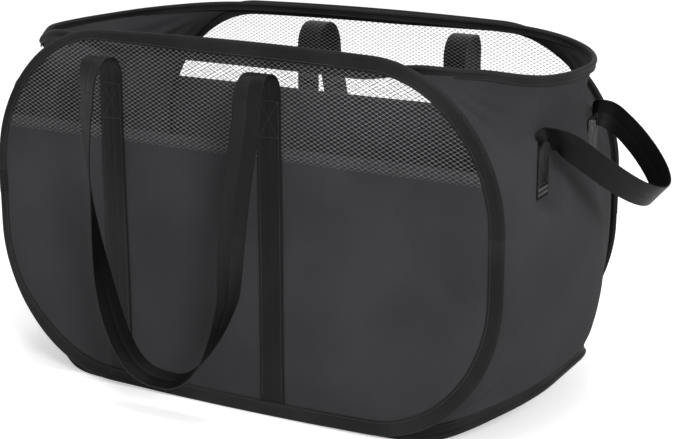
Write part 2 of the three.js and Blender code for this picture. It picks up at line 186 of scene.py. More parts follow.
def fresh_nodes(owner: bpy.types.Material | bpy.types.World) -> Nodes:
    """Empties the node tree of a material or world.

    Args:
        owner: The material or world.

    Returns:
        A helper on its tree.
    """
    owner.use_nodes = True
    owner.node_tree.nodes.clear()
    return Nodes(owner.node_tree)


def shared_group(name: str, inputs: dict[str, tuple[str, object]], outputs: dict[str, str]) -> tuple:
    """Starts a shader node group with named sockets.

    Args:
        name: The group's name.
        inputs: Each input's name, with its socket type and default.
        outputs: Each output's name, with its socket type.

    Returns:
        The group's tree, a helper on it, its input node and its output node.
    """
    tree = bpy.data.node_groups.new(name, "ShaderNodeTree")
    for label, (kind, value) in inputs.items():
        socket = tree.interface.new_socket(name=label, in_out="INPUT", socket_type=f"NodeSocket{kind}")
        if value is not None:
            socket.default_value = value
    for label, kind in outputs.items():
        tree.interface.new_socket(name=label, in_out="OUTPUT", socket_type=f"NodeSocket{kind}")
    nodes = Nodes(tree)
    return tree, nodes, nodes.add("NodeGroupInput"), nodes.add("NodeGroupOutput")


def cloth_tone_group() -> bpy.types.NodeTree:
    """Dyed cloth's tone: soft patches, fine yarn grain and a little lint, with painted shade in the relief's
    grooves and painted light on its ridges.

    Returns:
        The group, from a place and two colours to a colour and a roughness.
    """
    tree, nodes, start, end = shared_group(
        "cloth_tone",
        {
            "Vector": ("Vector", None),
            # The first colour is the darker yarn tone and also the painted shade in the grooves.
            "Deep": ("Color", (0.05, 0.05, 0.05, 1.0)),
            # The second colour is the paler yarn tone and also the painted light on the ridges.
            "Worn": ("Color", (0.07, 0.07, 0.07, 1.0)),
            "Patch Scale": ("Float", 9.0),
            "Grain Scale": ("Float", 900.0),
            "Relief": ("Float", 0.5),
            "Relief Share": ("Float", 0.3),
            "Smooth": ("Float", 0.6),
            "Rough": ("Float", 0.85),
        },
        {"Color": "Color", "Roughness": "Float"},
    )
    socket = start.outputs
    patches = nodes.add("TexNoise", Vector=socket["Vector"], Scale=socket["Patch Scale"], Detail=3.0)
    grain = nodes.add("TexNoise", Vector=socket["Vector"], Scale=socket["Grain Scale"], Detail=2.0)
    soft = nodes.add("MapRange", Value=patches.outputs["Fac"], From_Min=0.35, From_Max=0.65)
    fine = nodes.add("MapRange", Value=grain.outputs["Fac"], From_Min=0.3, From_Max=0.7)
    patch_share = 0.55
    grain_tone = nodes.math("MULTIPLY", fine.outputs[0], 1 - patch_share)
    tone = nodes.math("MULTIPLY_ADD", soft.outputs[0], patch_share, grain_tone)
    # Painted shade and light: by the relief's share, the colour darkens in the grooves and lightens on the
    # ridges.
    relief = nodes.math("SUBTRACT", socket["Relief"], 0.5)
    held = nodes.add("Clamp", Value=nodes.math("MULTIPLY_ADD", relief, socket["Relief Share"], tone))
    color = nodes.mix_colors(held.outputs[0], socket["Deep"], socket["Worn"])
    rough = nodes.add("MapRange", Value=tone, To_Min=socket["Smooth"], To_Max=socket["Rough"])
    nodes.feed(end, "Color", color)
    nodes.feed(end, "Roughness", rough.outputs[0])
    return tree


def plain_weave_group() -> bpy.types.NodeTree:
    """Warp and weft passing over and under each other.

    Returns:
        The group, from a flat place and a pitch to a height.
    """
    tree, nodes, start, end = shared_group(
        "plain_weave",
        {"Vector": ("Vector", None), "Pitch": ("Float", 0.0006)},
        {"Height": "Float"},
    )
    place = nodes.add("SeparateXYZ", Vector=start.outputs["Vector"])
    waves = []
    for axis in (0, 1):
        turns = nodes.math("DIVIDE", place.outputs[axis], start.outputs["Pitch"])
        waves.append(nodes.math("SINE", nodes.math("MULTIPLY", turns, math.pi)))
    over = nodes.math("MULTIPLY_ADD", nodes.math("MULTIPLY", waves[0], waves[1]), 0.5, 0.5)
    under = nodes.math("SUBTRACT", 1.0, over)
    warp = nodes.math("MULTIPLY", nodes.math("ABSOLUTE", waves[0]), over)
    weft = nodes.math("MULTIPLY", nodes.math("ABSOLUTE", waves[1]), under)
    nodes.feed(end, "Height", nodes.math("ADD", warp, weft))
    return tree


def twill_group() -> bpy.types.NodeTree:
    """Slanting twill ribs, folded about the middle for a herringbone.

    Returns:
        The group, from a flat place, a pitch and a fold to a height.
    """
    tree, nodes, start, end = shared_group(
        "twill_ribs",
        {
            "Vector": ("Vector", None),
            "Pitch": ("Float", 0.002),
            "Slant": ("Float", 1.0),
            "Folded": ("Float", 0.0),
            "Cross Share": ("Float", 0.25),
        },
        {"Height": "Float"},
    )
    socket = start.outputs
    place = nodes.add("SeparateXYZ", Vector=socket["Vector"])
    folded = nodes.math("ABSOLUTE", place.outputs[1])
    step = nodes.math("SUBTRACT", folded, place.outputs[1])
    across = nodes.math("MULTIPLY_ADD", step, socket["Folded"], place.outputs[1])
    slanted = nodes.math("MULTIPLY_ADD", across, socket["Slant"], place.outputs[0])
    turns = nodes.math("DIVIDE", nodes.math("MULTIPLY", slanted, 2 * math.pi), socket["Pitch"])
    ribs = nodes.math("MULTIPLY_ADD", nodes.math("SINE", turns), 0.5, 0.5)
    other = nodes.math("SUBTRACT", place.outputs[0], across)
    cross_turns = nodes.math("DIVIDE", nodes.math("MULTIPLY", other, 4 * math.pi), socket["Pitch"])
    cross = nodes.math("MULTIPLY_ADD", nodes.math("SINE", cross_turns), 0.5, 0.5)
    kept = nodes.math("SUBTRACT", 1.0, socket["Cross Share"])
    height = nodes.math("MULTIPLY_ADD", ribs, kept, nodes.math("MULTIPLY", cross, socket["Cross Share"]))
    nodes.feed(end, "Height", height)
    return tree


class Groups:
    """The shader node groups, each built when it is first asked for."""

    _makers: dict[str, Callable[[], bpy.types.NodeTree]] = {
        "tone": cloth_tone_group,
        "weave": plain_weave_group,
        "twill": twill_group,
    }
    _made: dict[str, bpy.types.NodeTree] = {}

    @classmethod
    def place(cls, nodes: Nodes, name: str, **values: object) -> bpy.types.Node:
        """Places a group in a material.

        Args:
            nodes: The material's nodes.
            name: The group's short name.
            values: Its sockets' values, with spaces as underscores.

        Returns:
            The group node.
        """
        if name not in cls._made:
            cls._made[name] = cls._makers[name]()
        node = nodes.add("Group", node_tree=cls._made[name])
        for label, value in values.items():
            nodes.feed(node, label.replace("_", " "), value)
        return node


# Finishes


Tint = tuple[float, float, float]


@dataclass(frozen=True)
class Finish:
    """What all finishes share: a name, the record's slot, two tones and the gloss."""

    name: str
    slot: Slot
    # The darker and paler tones, also used as painted shade in the grooves and painted light on the ridges.
    deep: Tint
    pale_and_lit: Tint
    smooth: float = 0.6
    rough: float = 0.85
    sheen: float = 0.05
    sheen_roughness: float = 0.45
    specular: float = 0.15
    metallic: float = 0.0
    patch_scale: float = 9.0
    grain_scale: float = 900.0
    # How much of the colour is painted shade and light from the relief.
    relief_share: float = 0.3
    bump_depth: float = 0.00015

    def relief(self, nodes: Nodes, place: bpy.types.NodeSocket) -> bpy.types.NodeSocket:
        """The height of the surface's texture.

        Args:
            nodes: The material's nodes.
            place: The coordinates that the texture follows.

        Returns:
            A height from 0 to 1.
        """
        return nodes.add("TexNoise", Vector=place, Scale=self.grain_scale, Detail=2.0).outputs["Fac"]

    def coordinates(self, nodes: Nodes) -> bpy.types.NodeSocket:
        """The coordinates that the finish follows: those of the piece's own flat map."""
        return nodes.add("TexCoord").outputs["UV"]

    def material(self) -> bpy.types.Material:
        """The finish as a material, made once.

        Returns:
            The material.
        """
        known = bpy.data.materials.get(self.name)
        if known:
            return known
        material = bpy.data.materials.new(self.name)
        nodes = fresh_nodes(material)
        place = self.coordinates(nodes)
        height = self.relief(nodes, place)
        # The tone group paints shade into the relief's grooves and light onto its ridges.
        tone = Groups.place(
            nodes, "tone", Vector=place, Deep=(*self.deep, 1.0), Worn=(*self.pale_and_lit, 1.0),
            Patch_Scale=self.patch_scale, Grain_Scale=self.grain_scale, Relief=height,
            Relief_Share=self.relief_share, Smooth=self.smooth, Rough=self.rough,
        )
        bump = nodes.add("Bump", Strength=1.0, Distance=self.bump_depth, Height=height)
        shader = nodes.add("BsdfPrincipled")
        for socket, value in (
            ("Base Color", tone.outputs["Color"]), ("Roughness", tone.outputs["Roughness"]),
            ("Normal", bump.outputs["Normal"]), ("Metallic", self.metallic),
            ("Specular IOR Level", self.specular), ("Sheen Weight", self.sheen),
            ("Sheen Roughness", self.sheen_roughness),
        ):
            nodes.feed(shader, socket, value)
        out = nodes.add("OutputMaterial")
        nodes.feed(out, "Surface", shader.outputs[0])
        return material


@dataclass(frozen=True)
class WovenCloth(Finish):
    """Plain-woven coated polyester."""

    pitch: float = 0.0007

    def relief(self, nodes: Nodes, place: bpy.types.NodeSocket) -> bpy.types.NodeSocket:
        """The weave's height, from the same inputs as in Finish."""
        return Groups.place(nodes, "weave", Vector=place, Pitch=self.pitch).outputs["Height"]


@dataclass(frozen=True)
class TwillTape(Finish):
    """Twill tape, with ribs that slant along it."""

    pitch: float = 0.0021
    slant: float = 1.0
    folded: float = 0.0
    cross_share: float = 0.3

    def relief(self, nodes: Nodes, place: bpy.types.NodeSocket) -> bpy.types.NodeSocket:
        """The height of the twill's ribs.

        Args:
            nodes: The material's nodes.
            place: The coordinates that the ribs follow.

        Returns:
            A height from 0 to 1.
        """
        group = Groups.place(
            nodes, "twill", Vector=place, Pitch=self.pitch, Slant=self.slant, Folded=self.folded,
            Cross_Share=self.cross_share,
        )
        return group.outputs["Height"]


@dataclass(frozen=True)
class BrushedSteel(Finish):
    """Drawn wire or plated tube with fine marks along it."""

    def coordinates(self, nodes: Nodes) -> bpy.types.NodeSocket:
        """Object coordinates, because the fixed frame's own solids have no flat map."""
        return nodes.add("TexCoord").outputs["Object"]


# Each finish's relief share paints shade into its grooves and light onto its ribs; the tape, webbing and
# threads get high shares.
CLOTH = WovenCloth(
    "woven_cloth", Slot.CLOTH, (0.026, 0.026, 0.0278), (0.041, 0.041, 0.0435), rough=0.95, smooth=0.8,
    specular=0.03, sheen=0.01,
)
NET = TwillTape(
    "knitted_net", Slot.NET, (0.105, 0.105, 0.109), (0.185, 0.185, 0.19), pitch=0.0011, rough=0.8,
    cross_share=0.4, specular=0.25,
)
TAPE = TwillTape(
    "binding_tape", Slot.TAPE, (0.004, 0.004, 0.0043), (0.024, 0.024, 0.0252), relief_share=0.9,
    specular=0.06, sheen=0.02, smooth=0.5,
)
WEBBING = TwillTape(
    "handle_webbing", Slot.WEBBING, (0.001, 0.001, 0.0012), (0.005, 0.005, 0.0054), pitch=0.0018, slant=0.25,
    folded=1.0, smooth=0.34, rough=0.44, sheen=0.0, specular=0.12, relief_share=0.8, bump_depth=0.0002,
)
THREAD = TwillTape(
    "sewing_thread", Slot.TAPE, (0.012, 0.012, 0.013), (0.05, 0.05, 0.052), pitch=0.0008, slant=1.5,
    smooth=0.4, rough=0.6, relief_share=0.6,
)
LIGHT_THREAD = TwillTape(
    "seam_thread", Slot.TAPE, (0.03, 0.03, 0.031), (0.09, 0.09, 0.092), pitch=0.0008, slant=1.5,
    smooth=0.45, rough=0.65, relief_share=0.6,
)
TACK_THREAD = TwillTape(
    "tack_thread", Slot.TAPE, (0.03, 0.03, 0.031), (0.10, 0.10, 0.103), pitch=0.0008, slant=1.5,
    smooth=0.5, rough=0.7, relief_share=0.6,
)
SPRING = BrushedSteel(
    "spring_wire", Slot.WIRE, (0.26, 0.27, 0.28), (0.36, 0.37, 0.38), metallic=1.0, smooth=0.25, rough=0.4,
    sheen=0.0, grain_scale=1500.0, bump_depth=0.00003,
)
PLATED = BrushedSteel(
    "plated_tube", Slot.TUBE, (0.40, 0.41, 0.42), (0.52, 0.53, 0.54), metallic=1.0, smooth=0.22, rough=0.35,
    sheen=0.0, grain_scale=1200.0, bump_depth=0.00003,
)


# Shaping


def smooth_step(share: Array | float) -> Array | float:
    """A share that starts and stops softly.

    Args:
        share: Any number, held between 0 and 1.

    Returns:
        The softened share.
    """
    held = np.clip(share, 0.0, 1.0)
    return held * held * (3 - 2 * held)


def ramp(value: Array | float, span: Ramp) -> Array | float:
    """A soft climb from none to all.

    Args:
        value: A place on the way.
        span: Where the climb starts, and how long it is.

    Returns:
        The share climbed there.
    """
    start, length = span
    return smooth_step((value - start) / length)


def spaced(points: Array, count: int, closed: bool) -> Array:
    """Points evenly spaced along a line of points.

    Args:
        points: The line's points.
        count: How many points come back.
        closed: Whether the line runs back to its start.

    Returns:
        The evenly spaced points.
    """
    line = np.vstack([points, points[:1]]) if closed else points
    steps = np.linalg.norm(np.diff(line, axis=0), axis=1)
    reach = np.concatenate([[0.0], np.cumsum(steps)])
    places = np.linspace(0.0, reach[-1], count + 1)[:-1] if closed else np.linspace(0.0, reach[-1], count)
    return np.column_stack([np.interp(places, reach, line[:, axis]) for axis in range(line.shape[1])])


def lengths_along(points: Array, closed: bool) -> Array:
    """How far along the line each point is, and the whole length last where it is closed."""
    line = np.vstack([points, points[:1]]) if closed else points
    return np.concatenate([[0.0], np.cumsum(np.linalg.norm(np.diff(line, axis=0), axis=1))])


def unit(vectors: Array) -> Array:
    """The vectors at a length of one."""
    return vectors / np.maximum(np.linalg.norm(vectors, axis=-1, keepdims=True), 1e-12)


def waves(across: Array, along: Array, seed: int, wave: float, count: int = 9) -> Array:
    """A soft, irregular ripple made of a few sine waves.

    Args:
        across: The first flat coordinate.
        along: The second flat coordinate.
        seed: Which ripple.
        wave: The usual distance between crests.
        count: How many sine waves are added.

    Returns:
        Heights of about -1 to 1.
    """
    draw = np.random.default_rng(seed)
    total = np.zeros(np.broadcast(across, along).shape)
    turn, least, most = 2 * math.pi, 0.7, 1.6
    for _ in range(count):
        angle, phase, stretch = draw.uniform(0, turn), draw.uniform(0, turn), draw.uniform(least, most)
        turns = (across * math.cos(angle) + along * math.sin(angle)) * 2 * math.pi / (wave * stretch)
        total += np.sin(turns + phase)
    return total / math.sqrt(count)


@dataclass(frozen=True)
class Outline:
    """A rounded rectangle with elliptical corners and bowed long sides, in millimetres."""

    width: float
    height: float
    corner_width: float
    corner_height: float
    crown: float = 0.0
    corner_steps: int = 80
    side_steps: int = 60
    search_steps: int = 260

    def line(self, count: int, inset: float = 0.0) -> Placed:
        """Evenly spaced places on the outline.

        Args:
            count: How many places.
            inset: How far inside the outline they lie.

        Returns:
            The places and the outward directions there, counterclockwise from the right-hand side.
        """
        a, b = self.width / 2, self.height / 2
        turn = np.linspace(0, math.pi / 2, self.corner_steps)
        corner = np.column_stack([
            a - self.corner_width * (1 - np.cos(turn)), b - self.corner_height * (1 - np.sin(turn)),
        ])
        flat = np.linspace(a - self.corner_width, self.corner_width - a, self.side_steps)[1:-1]
        half = np.vstack([corner, np.column_stack([flat, np.full(len(flat), b)]), corner[::-1] * [-1, 1]])
        points = np.vstack([half, -half])
        points[:, 1] *= 1 - (self.crown / b) * (points[:, 0] / a) ** 2
        points = spaced(points, count, True)
        along = unit(np.roll(points, -1, axis=0) - np.roll(points, 1, axis=0))
        outward = np.column_stack([along[:, 1], -along[:, 0]])
        return points - outward * inset, outward

    def nearest(self, points: Array, inset: float) -> Placed:
        """How deep inside the inset outline points are, and the nearest places on it.

        Args:
            points: The points.
            inset: How far the outline is moved inward.

        Returns:
            The depths, which are negative outside, and the nearest places.
        """
        line, outward = self.line(self.search_steps, inset)
        sides = np.roll(line, -1, axis=0) - line
        offset = points[:, None] - line[None]
        share = np.clip((offset * sides).sum(2) / (sides * sides).sum(1), 0, 1)
        feet = line + share[..., None] * sides
        gaps = np.linalg.norm(points[:, None] - feet, axis=2)
        pick = gaps.argmin(1)
        rows = np.arange(len(points))
        depth = -((points - feet[rows, pick]) * outward[pick]).sum(1)
        return np.sign(depth) * gaps[rows, pick], feet[rows, pick]


PANEL = Outline(620, 405, 146, 170, 9)
RIM = Outline(648, 318.7, 144, 148)
BASE = Outline(637, 318.7, 150, 120)


def set_points(bm: bmesh.types.BMesh, points: Array) -> None:
    """Moves every vertex of a mesh to its own place, given in millimetres."""
    for vertex, point in zip(bm.verts, points * MM):
        vertex.co = point


def set_flat_map(bm: bmesh.types.BMesh, flat: Array) -> None:
    """Gives each vertex its place on the flat cloth, in metres.

    Args:
        bm: The mesh.
        flat: The places, in millimetres.
    """
    layer = bm.loops.layers.uv.verify()
    bm.verts.index_update()
    for face in bm.faces:
        for loop in face.loops:
            loop[layer].uv = flat[loop.vert.index] * MM


def shaped_grid(columns: int, rows: int, place: Callable[[Array, Array], Placed]) -> bmesh.types.BMesh:
    """A grid bent into shape.

    Args:
        columns: Its faces one way.
        rows: Its faces the other way.
        place: Gives points and flat places from the two shares of each vertex.

    Returns:
        The shaped mesh.
    """
    bm = bmesh.new()
    bmesh.ops.create_grid(bm, x_segments=columns, y_segments=rows, size=0.5)
    shares = np.array([vertex.co[:2] for vertex in bm.verts]) + 0.5
    points, flat = place(shares[:, 0], shares[:, 1])
    set_points(bm, points)
    set_flat_map(bm, flat)
    return bm


def swept(section: Array, columns: int, closed: bool, place: Callable[[Array, Array, Array], Array],
          length: float) -> bmesh.types.BMesh:
    """A closed section carried along a line.

    Args:
        section: The section's points in order, each with two coordinates and its place on the flat strip.
        columns: How many steps the line has.
        closed: Whether the line runs back to its start.
        place: Gives points from the share along the line and the section's two coordinates.
        length: The line's length in millimetres, for the flat map.

    Returns:
        The closed mesh.
    """
    ring = np.vstack([section, section[:1]])

    def placed(along: Array, around: Array) -> Placed:
        """Points and flat places on the swept surface.

        Args:
            along: Shares along the line.
            around: Shares round the section.

        Returns:
            The points and flat places, in millimetres.
        """
        index = np.rint(around * len(section)).astype(int)
        points = place(along, ring[index, 0], ring[index, 1])
        return points, np.column_stack([along * length, ring[index, 2]])

    bm = shaped_grid(columns, len(section), placed)
    bmesh.ops.remove_doubles(bm, verts=bm.verts, dist=TOUCHING)
    if not closed:
        bmesh.ops.holes_fill(bm, edges=[edge for edge in bm.edges if edge.is_boundary], sides=0)
    bmesh.ops.recalc_face_normals(bm, faces=bm.faces)
    return bm


def joined(parts: list[bmesh.types.BMesh]) -> bmesh.types.BMesh:
    """Puts several meshes into one.

    Args:
        parts: The meshes, which are used up.

    Returns:
        The one mesh.
    """
    whole = bmesh.new()
    whole.loops.layers.uv.verify()
    for part in parts:
        passing = bpy.data.meshes.new("passing")
        part.to_mesh(passing)
        part.free()
        whole.from_mesh(passing)
        bpy.data.meshes.remove(passing)
    return whole


def thickened(bm: bmesh.types.BMesh, thickness: float) -> None:
    """Gives a sheet its thickness about its middle surface.

    Args:
        bm: The sheet's mesh.
        thickness: In millimetres.
    """
    bm.normal_update()
    for vertex in bm.verts:
        vertex.co += vertex.normal * thickness * MM / 2
    bmesh.ops.solidify(bm, geom=bm.faces[:], thickness=thickness * MM)


@dataclass(frozen=True)
class Thread:
    """Sewing thread: it shows in short runs and dips through the cloth between them."""

    pitch: float = 3.6
    radius: float = 0.3
    rise: float = 0.16
    dip: float = 0.5
    dip_power: float = 1.5
    steps: int = 5
    sides: int = 6
    tack_lift: float = 0.2
    tack_dip: float = 0.5
    tack_flat: float = 0.8

    def tube(self, path: Array, outward: Array, closed: bool) -> bmesh.types.BMesh:
        """A tube along a path.

        Args:
            path: Its middle line, in millimetres.
            outward: The surface's direction, one for all or one at each point of it.
            closed: Whether it runs back to its start.

        Returns:
            The closed mesh.
        """
        count = len(path) if closed else len(path) - 1
        ends = (np.roll(path, -1, 0), np.roll(path, 1, 0)) if closed else (
            np.vstack([path[1:], path[-1:]]), np.vstack([path[:1], path[:-1]]))
        along = unit(ends[0] - ends[1])
        high = unit(outward - (outward * along).sum(1, keepdims=True) * along)
        wide = np.cross(along, high)
        turn = np.arange(self.sides) * 2 * math.pi / self.sides
        section = np.column_stack([np.cos(turn), np.sin(turn), turn]) * self.radius

        def placed(share: Array, first: Array, second: Array) -> Array:
            """Points on the tube, from the share along it and the section's two coordinates."""
            index = np.rint(share * count).astype(int) % len(path)
            return path[index] + wide[index] * first[:, None] + high[index] * second[:, None]

        return swept(section, count, closed, placed, lengths_along(path, closed)[-1])

    def row(self, path: Array, outward: Array, closed: bool = False) -> bmesh.types.BMesh:
        """A row of lock stitches.

        Args:
            path: The row's line on the surface, in millimetres.
            outward: The surface's direction, one for all or one at each point of it.
            closed: Whether the row runs back to its start.

        Returns:
            The closed mesh.
        """
        outward = unit(np.broadcast_to(outward, path.shape))
        total = lengths_along(path, closed)[-1]
        places = max(round(total / self.pitch), 1) * self.steps + (0 if closed else 1)
        fine = spaced(np.column_stack([path, outward]), places, closed)
        phase = np.arange(len(fine)) / self.steps * 2 * math.pi
        height = self.rise - (self.rise + self.dip) * np.clip(np.cos(phase), 0, 1) ** self.dip_power
        out = unit(fine[:, 3:])
        return self.tube(fine[:, :3] + out * height[:, None], out, closed)

    def zigzag(self, start: Array, end: Array, wide: Array, outward: Array, turns: int) -> bmesh.types.BMesh:
        """A bar tack: thread laid to and fro across a strap.

        Args:
            start: Where the tack starts, in millimetres.
            end: Where it ends.
            wide: Half its width, as a vector.
            outward: The surface's direction.
            turns: How often the thread crosses.

        Returns:
            The closed mesh.
        """
        share = np.linspace(0, 1, turns * 4 + 1)
        saw = np.abs((share * turns / 2 + 0.25) % 1 - 0.5) * 4 - 1
        path = start + (end - start) * share[:, None] + wide * saw[:, None]
        height = self.tack_lift - self.tack_dip * np.clip(np.abs(saw) - self.tack_flat, 0, 1)
        return self.tube(path + outward * height[:, None], outward, False)


STITCH = Thread()
TACK = Thread(radius=0.28)


def made(bm: bmesh.types.BMesh, name: str, finish: Finish, body: Body | None) -> bpy.types.Object:
    """Turns a mesh into a shown piece of the hamper.

    Args:
        bm: The mesh, which is used up.
        name: The piece's name.
        finish: What it is made of.
        body: The body that it rides on, or none where two bodies share it.

    Returns:
        The piece, at the origin.
    """
    for face in bm.faces:
        face.smooth = True
    mesh = bpy.data.meshes.new(name)
    bm.to_mesh(mesh)
    bm.free()
    piece = bpy.data.objects.new(name, mesh)
    bpy.context.scene.collection.objects.link(piece)
    mesh.materials.append(finish.material())
    if body:
        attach(piece, body.value)
    LOG.info("%s: %d faces of %s", name, len(mesh.polygons), finish.name)
    return piece


# The wire loops in their tape


@dataclass
class WireLoop:
    """One spring-wire loop in its folded binding tape."""

    lie: Lie
    outline: Outline
    body: Body
    half_spacing: float = 163.0
    panel_height: float = 405.0
    base_middle: float = 2.9
    base_lift: float = 36.0
    base_flat_width: float = 400.0
    rim_top: float = 388.3
    rim_sag: float = 16.0
    fold_radius: float = 2.9
    tape_width: float = 17.0
    leg_level: float = 1.35
    lining_level: float = 0.65
    stations: int = 300
    station_places: int = 4
    bead: float = 6.0
    bead_ease: float = 9.0
    bead_swell: float = 0.05
    swell_wave: float = 60.0
    pucker: float = 0.25
    pucker_wave: float = 11.0
    pucker_seed: int = 10
    straight_pucker: float = 0.3
    leg_shift: float = 40.0
    stitch_inset: float = 14.6
    stitch_sink: float = 0.1
    seam_places: int = 720
    strap_places: tuple[float, ...] = ()
    strap_half_width: float = 14.5
    strap_margin: float = 4.5
    strap_ease: float = 4.0
    strap_lift: float = 1.7
    cloth_start: float = 1000.0
    cloth_ease: float = 8.0
    cloth_side: int = 1
    cloth_lift: float = 0.85
    raised_depths: Ramp = (6.0, 5.0)
    lap_place: tuple[float, float] | None = None
    lap_share: float = 0.014
    lap_scale: float = 1.16
    lap_bead: float = 8.0
    lap_lift: float = 2.2
    narrowing: float = 0.0
    narrow_side: int = 0
    narrow_beside: Ramp = (10.0, 230.0)
    narrow_above: Ramp = (-175.0, 90.0)
    tilt: float = 0.0
    tilt_ramp: Ramp = (205.0, 60.0)
    rim_rise: float = 12.4
    rise_ramp: Ramp = (140.0, 80.0)
    rim_dip: float = 6.0
    dip_ramp: Ramp = (265.0, 50.0)
    back_rise: float = 3.0
    back_ramp: Ramp = (-40.0, 180.0)
    left_drop: float = 13.0
    drop_ramp: Ramp = (230.0, 70.0)
    drop_front: Ramp = (45.0, 60.0)
    top_drop: float = 0.0
    top_ramp: Ramp = (200.0, 190.0)
    left_rise: float = 20.0
    right_rise: float = 9.0
    end_ramp: Ramp = (220.0, 75.0)
    wire_radius: float = 1.2
    wire_sides: int = 10

    def lift(self, x: Array) -> Array:
        """How far the base's ends bend up, at places along X."""
        past = np.maximum(np.abs(x) - self.base_flat_width / 2, 0)
        return self.base_lift * (past / (self.outline.width / 2 - self.base_flat_width / 2)) ** 2

    def leg_share(self, point: Array) -> Array:
        """How much of its full width the tape's legs keep: less where the tape is drawn round the wire.

        Args:
            point: Places on the outline.

        Returns:
            The shares.
        """
        if not self.narrow_side:
            return 1 - self.narrowing + 0 * point[:, 0]
        beside = ramp(point[:, 0] * self.narrow_side, self.narrow_beside)
        return 1 - self.narrowing * beside * ramp(point[:, 1], self.narrow_above)

    def risen(self, x: Array, y: Array) -> Array:
        """How far the shown loop stands above its plain line.

        Args:
            x: Places along X.
            y: Places along Y.

        Returns:
            The distances.
        """
        if self.lie is Lie.RIM:
            far = np.abs(x)
            rise = self.rim_rise * ramp(far, self.rise_ramp) - self.rim_dip * ramp(far, self.dip_ramp)
            rise = rise + (self.back_rise - rise) * ramp(y, self.back_ramp)
            return rise - self.left_drop * ramp(-x, self.drop_ramp) * ramp(-y, self.drop_front)
        if self.lie is Lie.BASE:
            return self.left_rise * ramp(-x, self.end_ramp) + self.right_rise * ramp(x, self.end_ramp)
        return 0 * x

    def at(self, point: Array, outward: Array, depth: Array | float, across: Array | float) -> Array:
        """Places of the loop in space.

        Args:
            point: Places on the outline.
            outward: The outward directions there.
            depth: How far into the loop.
            across: How far off its middle: to the back, up, or outward on the rim.

        Returns:
            The points, in millimetres.
        """
        depth, across = np.asarray(depth, float), np.asarray(across, float)
        depth = np.where(depth < self.fold_radius, depth,
                         self.fold_radius + (depth - self.fold_radius) * self.leg_share(point))
        if self.tilt:
            turn = math.radians(self.tilt) * ramp(np.abs(point[:, 0]), self.tilt_ramp)
            reach = depth - self.fold_radius
            depth = self.fold_radius + reach * np.cos(turn) - across * np.sin(turn)
            across = reach * np.sin(turn) + across * np.cos(turn)
        if self.lie is Lie.RIM:
            inward = self.fold_radius - across
            x, y = point[:, 0] - outward[:, 0] * inward, point[:, 1] - outward[:, 1] * inward
            sag = self.rim_sag * np.abs(2 * point[:, 0] / self.outline.width) ** 3
            return np.column_stack([x, y, self.rim_top - sag - depth + self.risen(x, y)])
        x, y = point[:, 0] - outward[:, 0] * depth, point[:, 1] - outward[:, 1] * depth
        if self.lie is Lie.BASE:
            return np.column_stack([x, y, self.base_middle + self.lift(x) + self.risen(x, y) + across])
        side = -1 if self.lie is Lie.FRONT else 1
        height = self.lowered(self.panel_height / 2 + y)
        return np.column_stack([x, side * self.half_spacing + across + 0 * x, height])

    def lowered(self, z: Array) -> Array:
        """The shown height of a place on an upright loop, whose top may lie lower than its plain line."""
        return z - self.top_drop * ramp(z, self.top_ramp)

    def raised(self, point: Array, side: Array | float, depth: Array | float) -> Array:
        """How far a leg of the tape stands up over what is sewn under it.

        Args:
            point: Places on the outline.
            side: The leg's side, as a sign.
            depth: How far into the loop.

        Returns:
            The distances.
        """
        near = ramp(np.abs(point[:, 0]), (self.cloth_start, self.cloth_ease))
        lift = self.cloth_lift * near * (side * self.cloth_side > 0)
        reach = self.strap_half_width + self.strap_margin
        for place in self.strap_places:
            over = smooth_step((reach - np.abs(point[:, 0] - place)) / self.strap_ease)
            lift = lift + self.strap_lift * over * (point[:, 1] < 0) * (side * self.cloth_side < 0)
        return lift * ramp(np.asarray(depth), self.raised_depths)

    def section(self) -> Array:
        """The folded tape's section: depth into the loop, offset across it, and place on the flat tape.

        Returns:
            The section's points, round the outside and back along the lining.
        """
        free, level, stitch = self.tape_width, self.leg_level, self.stitch_inset
        outer = [
            (free, level - 0.35), (free - 0.15, level - 0.05), (free - 1.2, level + 0.05),
            (stitch + 0.6, level), (stitch, level - 0.2), (stitch - 0.6, level),
            (12.0, level + 0.05), (9.5, level + 0.1), (7.6, level + 0.25), (6.2, level + 0.75), (5.0, 2.62),
            (3.8, 2.88), (2.6, 2.83), (1.4, 2.37), (0.5, 1.5), (0.08, 0.65), (0.0, 0.0),
        ]
        lining = [
            (free, self.lining_level), (12.0, self.lining_level - 0.03), (8.4, 0.75), (6.6, 1.2), (5.3, 1.98),
            (3.8, 2.2), (2.5, 2.1), (1.4, 1.5), (0.8, 0.6), (0.72, 0.0),
        ]
        lower = [(depth, -across) for depth, across in lining]
        other = [(depth, -across) for depth, across in reversed(outer[:-1])]
        points = np.array(outer + other + lower + lining[-2::-1])
        flat = lengths_along(points, False)
        return np.column_stack([points, flat])

    def tape(self, name: str, start: float, share: float, scale: float) -> bpy.types.Object:
        """The binding tape, puckered a little where it is sewn round the corners.

        Args:
            name: The piece's name.
            start: Where it starts, as a share of the loop.
            share: How much of the loop it goes round.
            scale: How much larger than the plain tape its section is.

        Returns:
            The piece.
        """
        near = self.station_places
        count = self.stations * near
        points, outward = self.outline.line(count)
        reach = lengths_along(points, True)
        bend = np.linalg.norm(np.roll(outward, -near, 0) - np.roll(outward, near, 0), axis=1)
        gathered = self.straight_pucker + (1 - self.straight_pucker) * smooth_step(bend / bend.max())
        seed = self.pucker_seed + list(Lie).index(self.lie)
        swell_seed = seed + 7

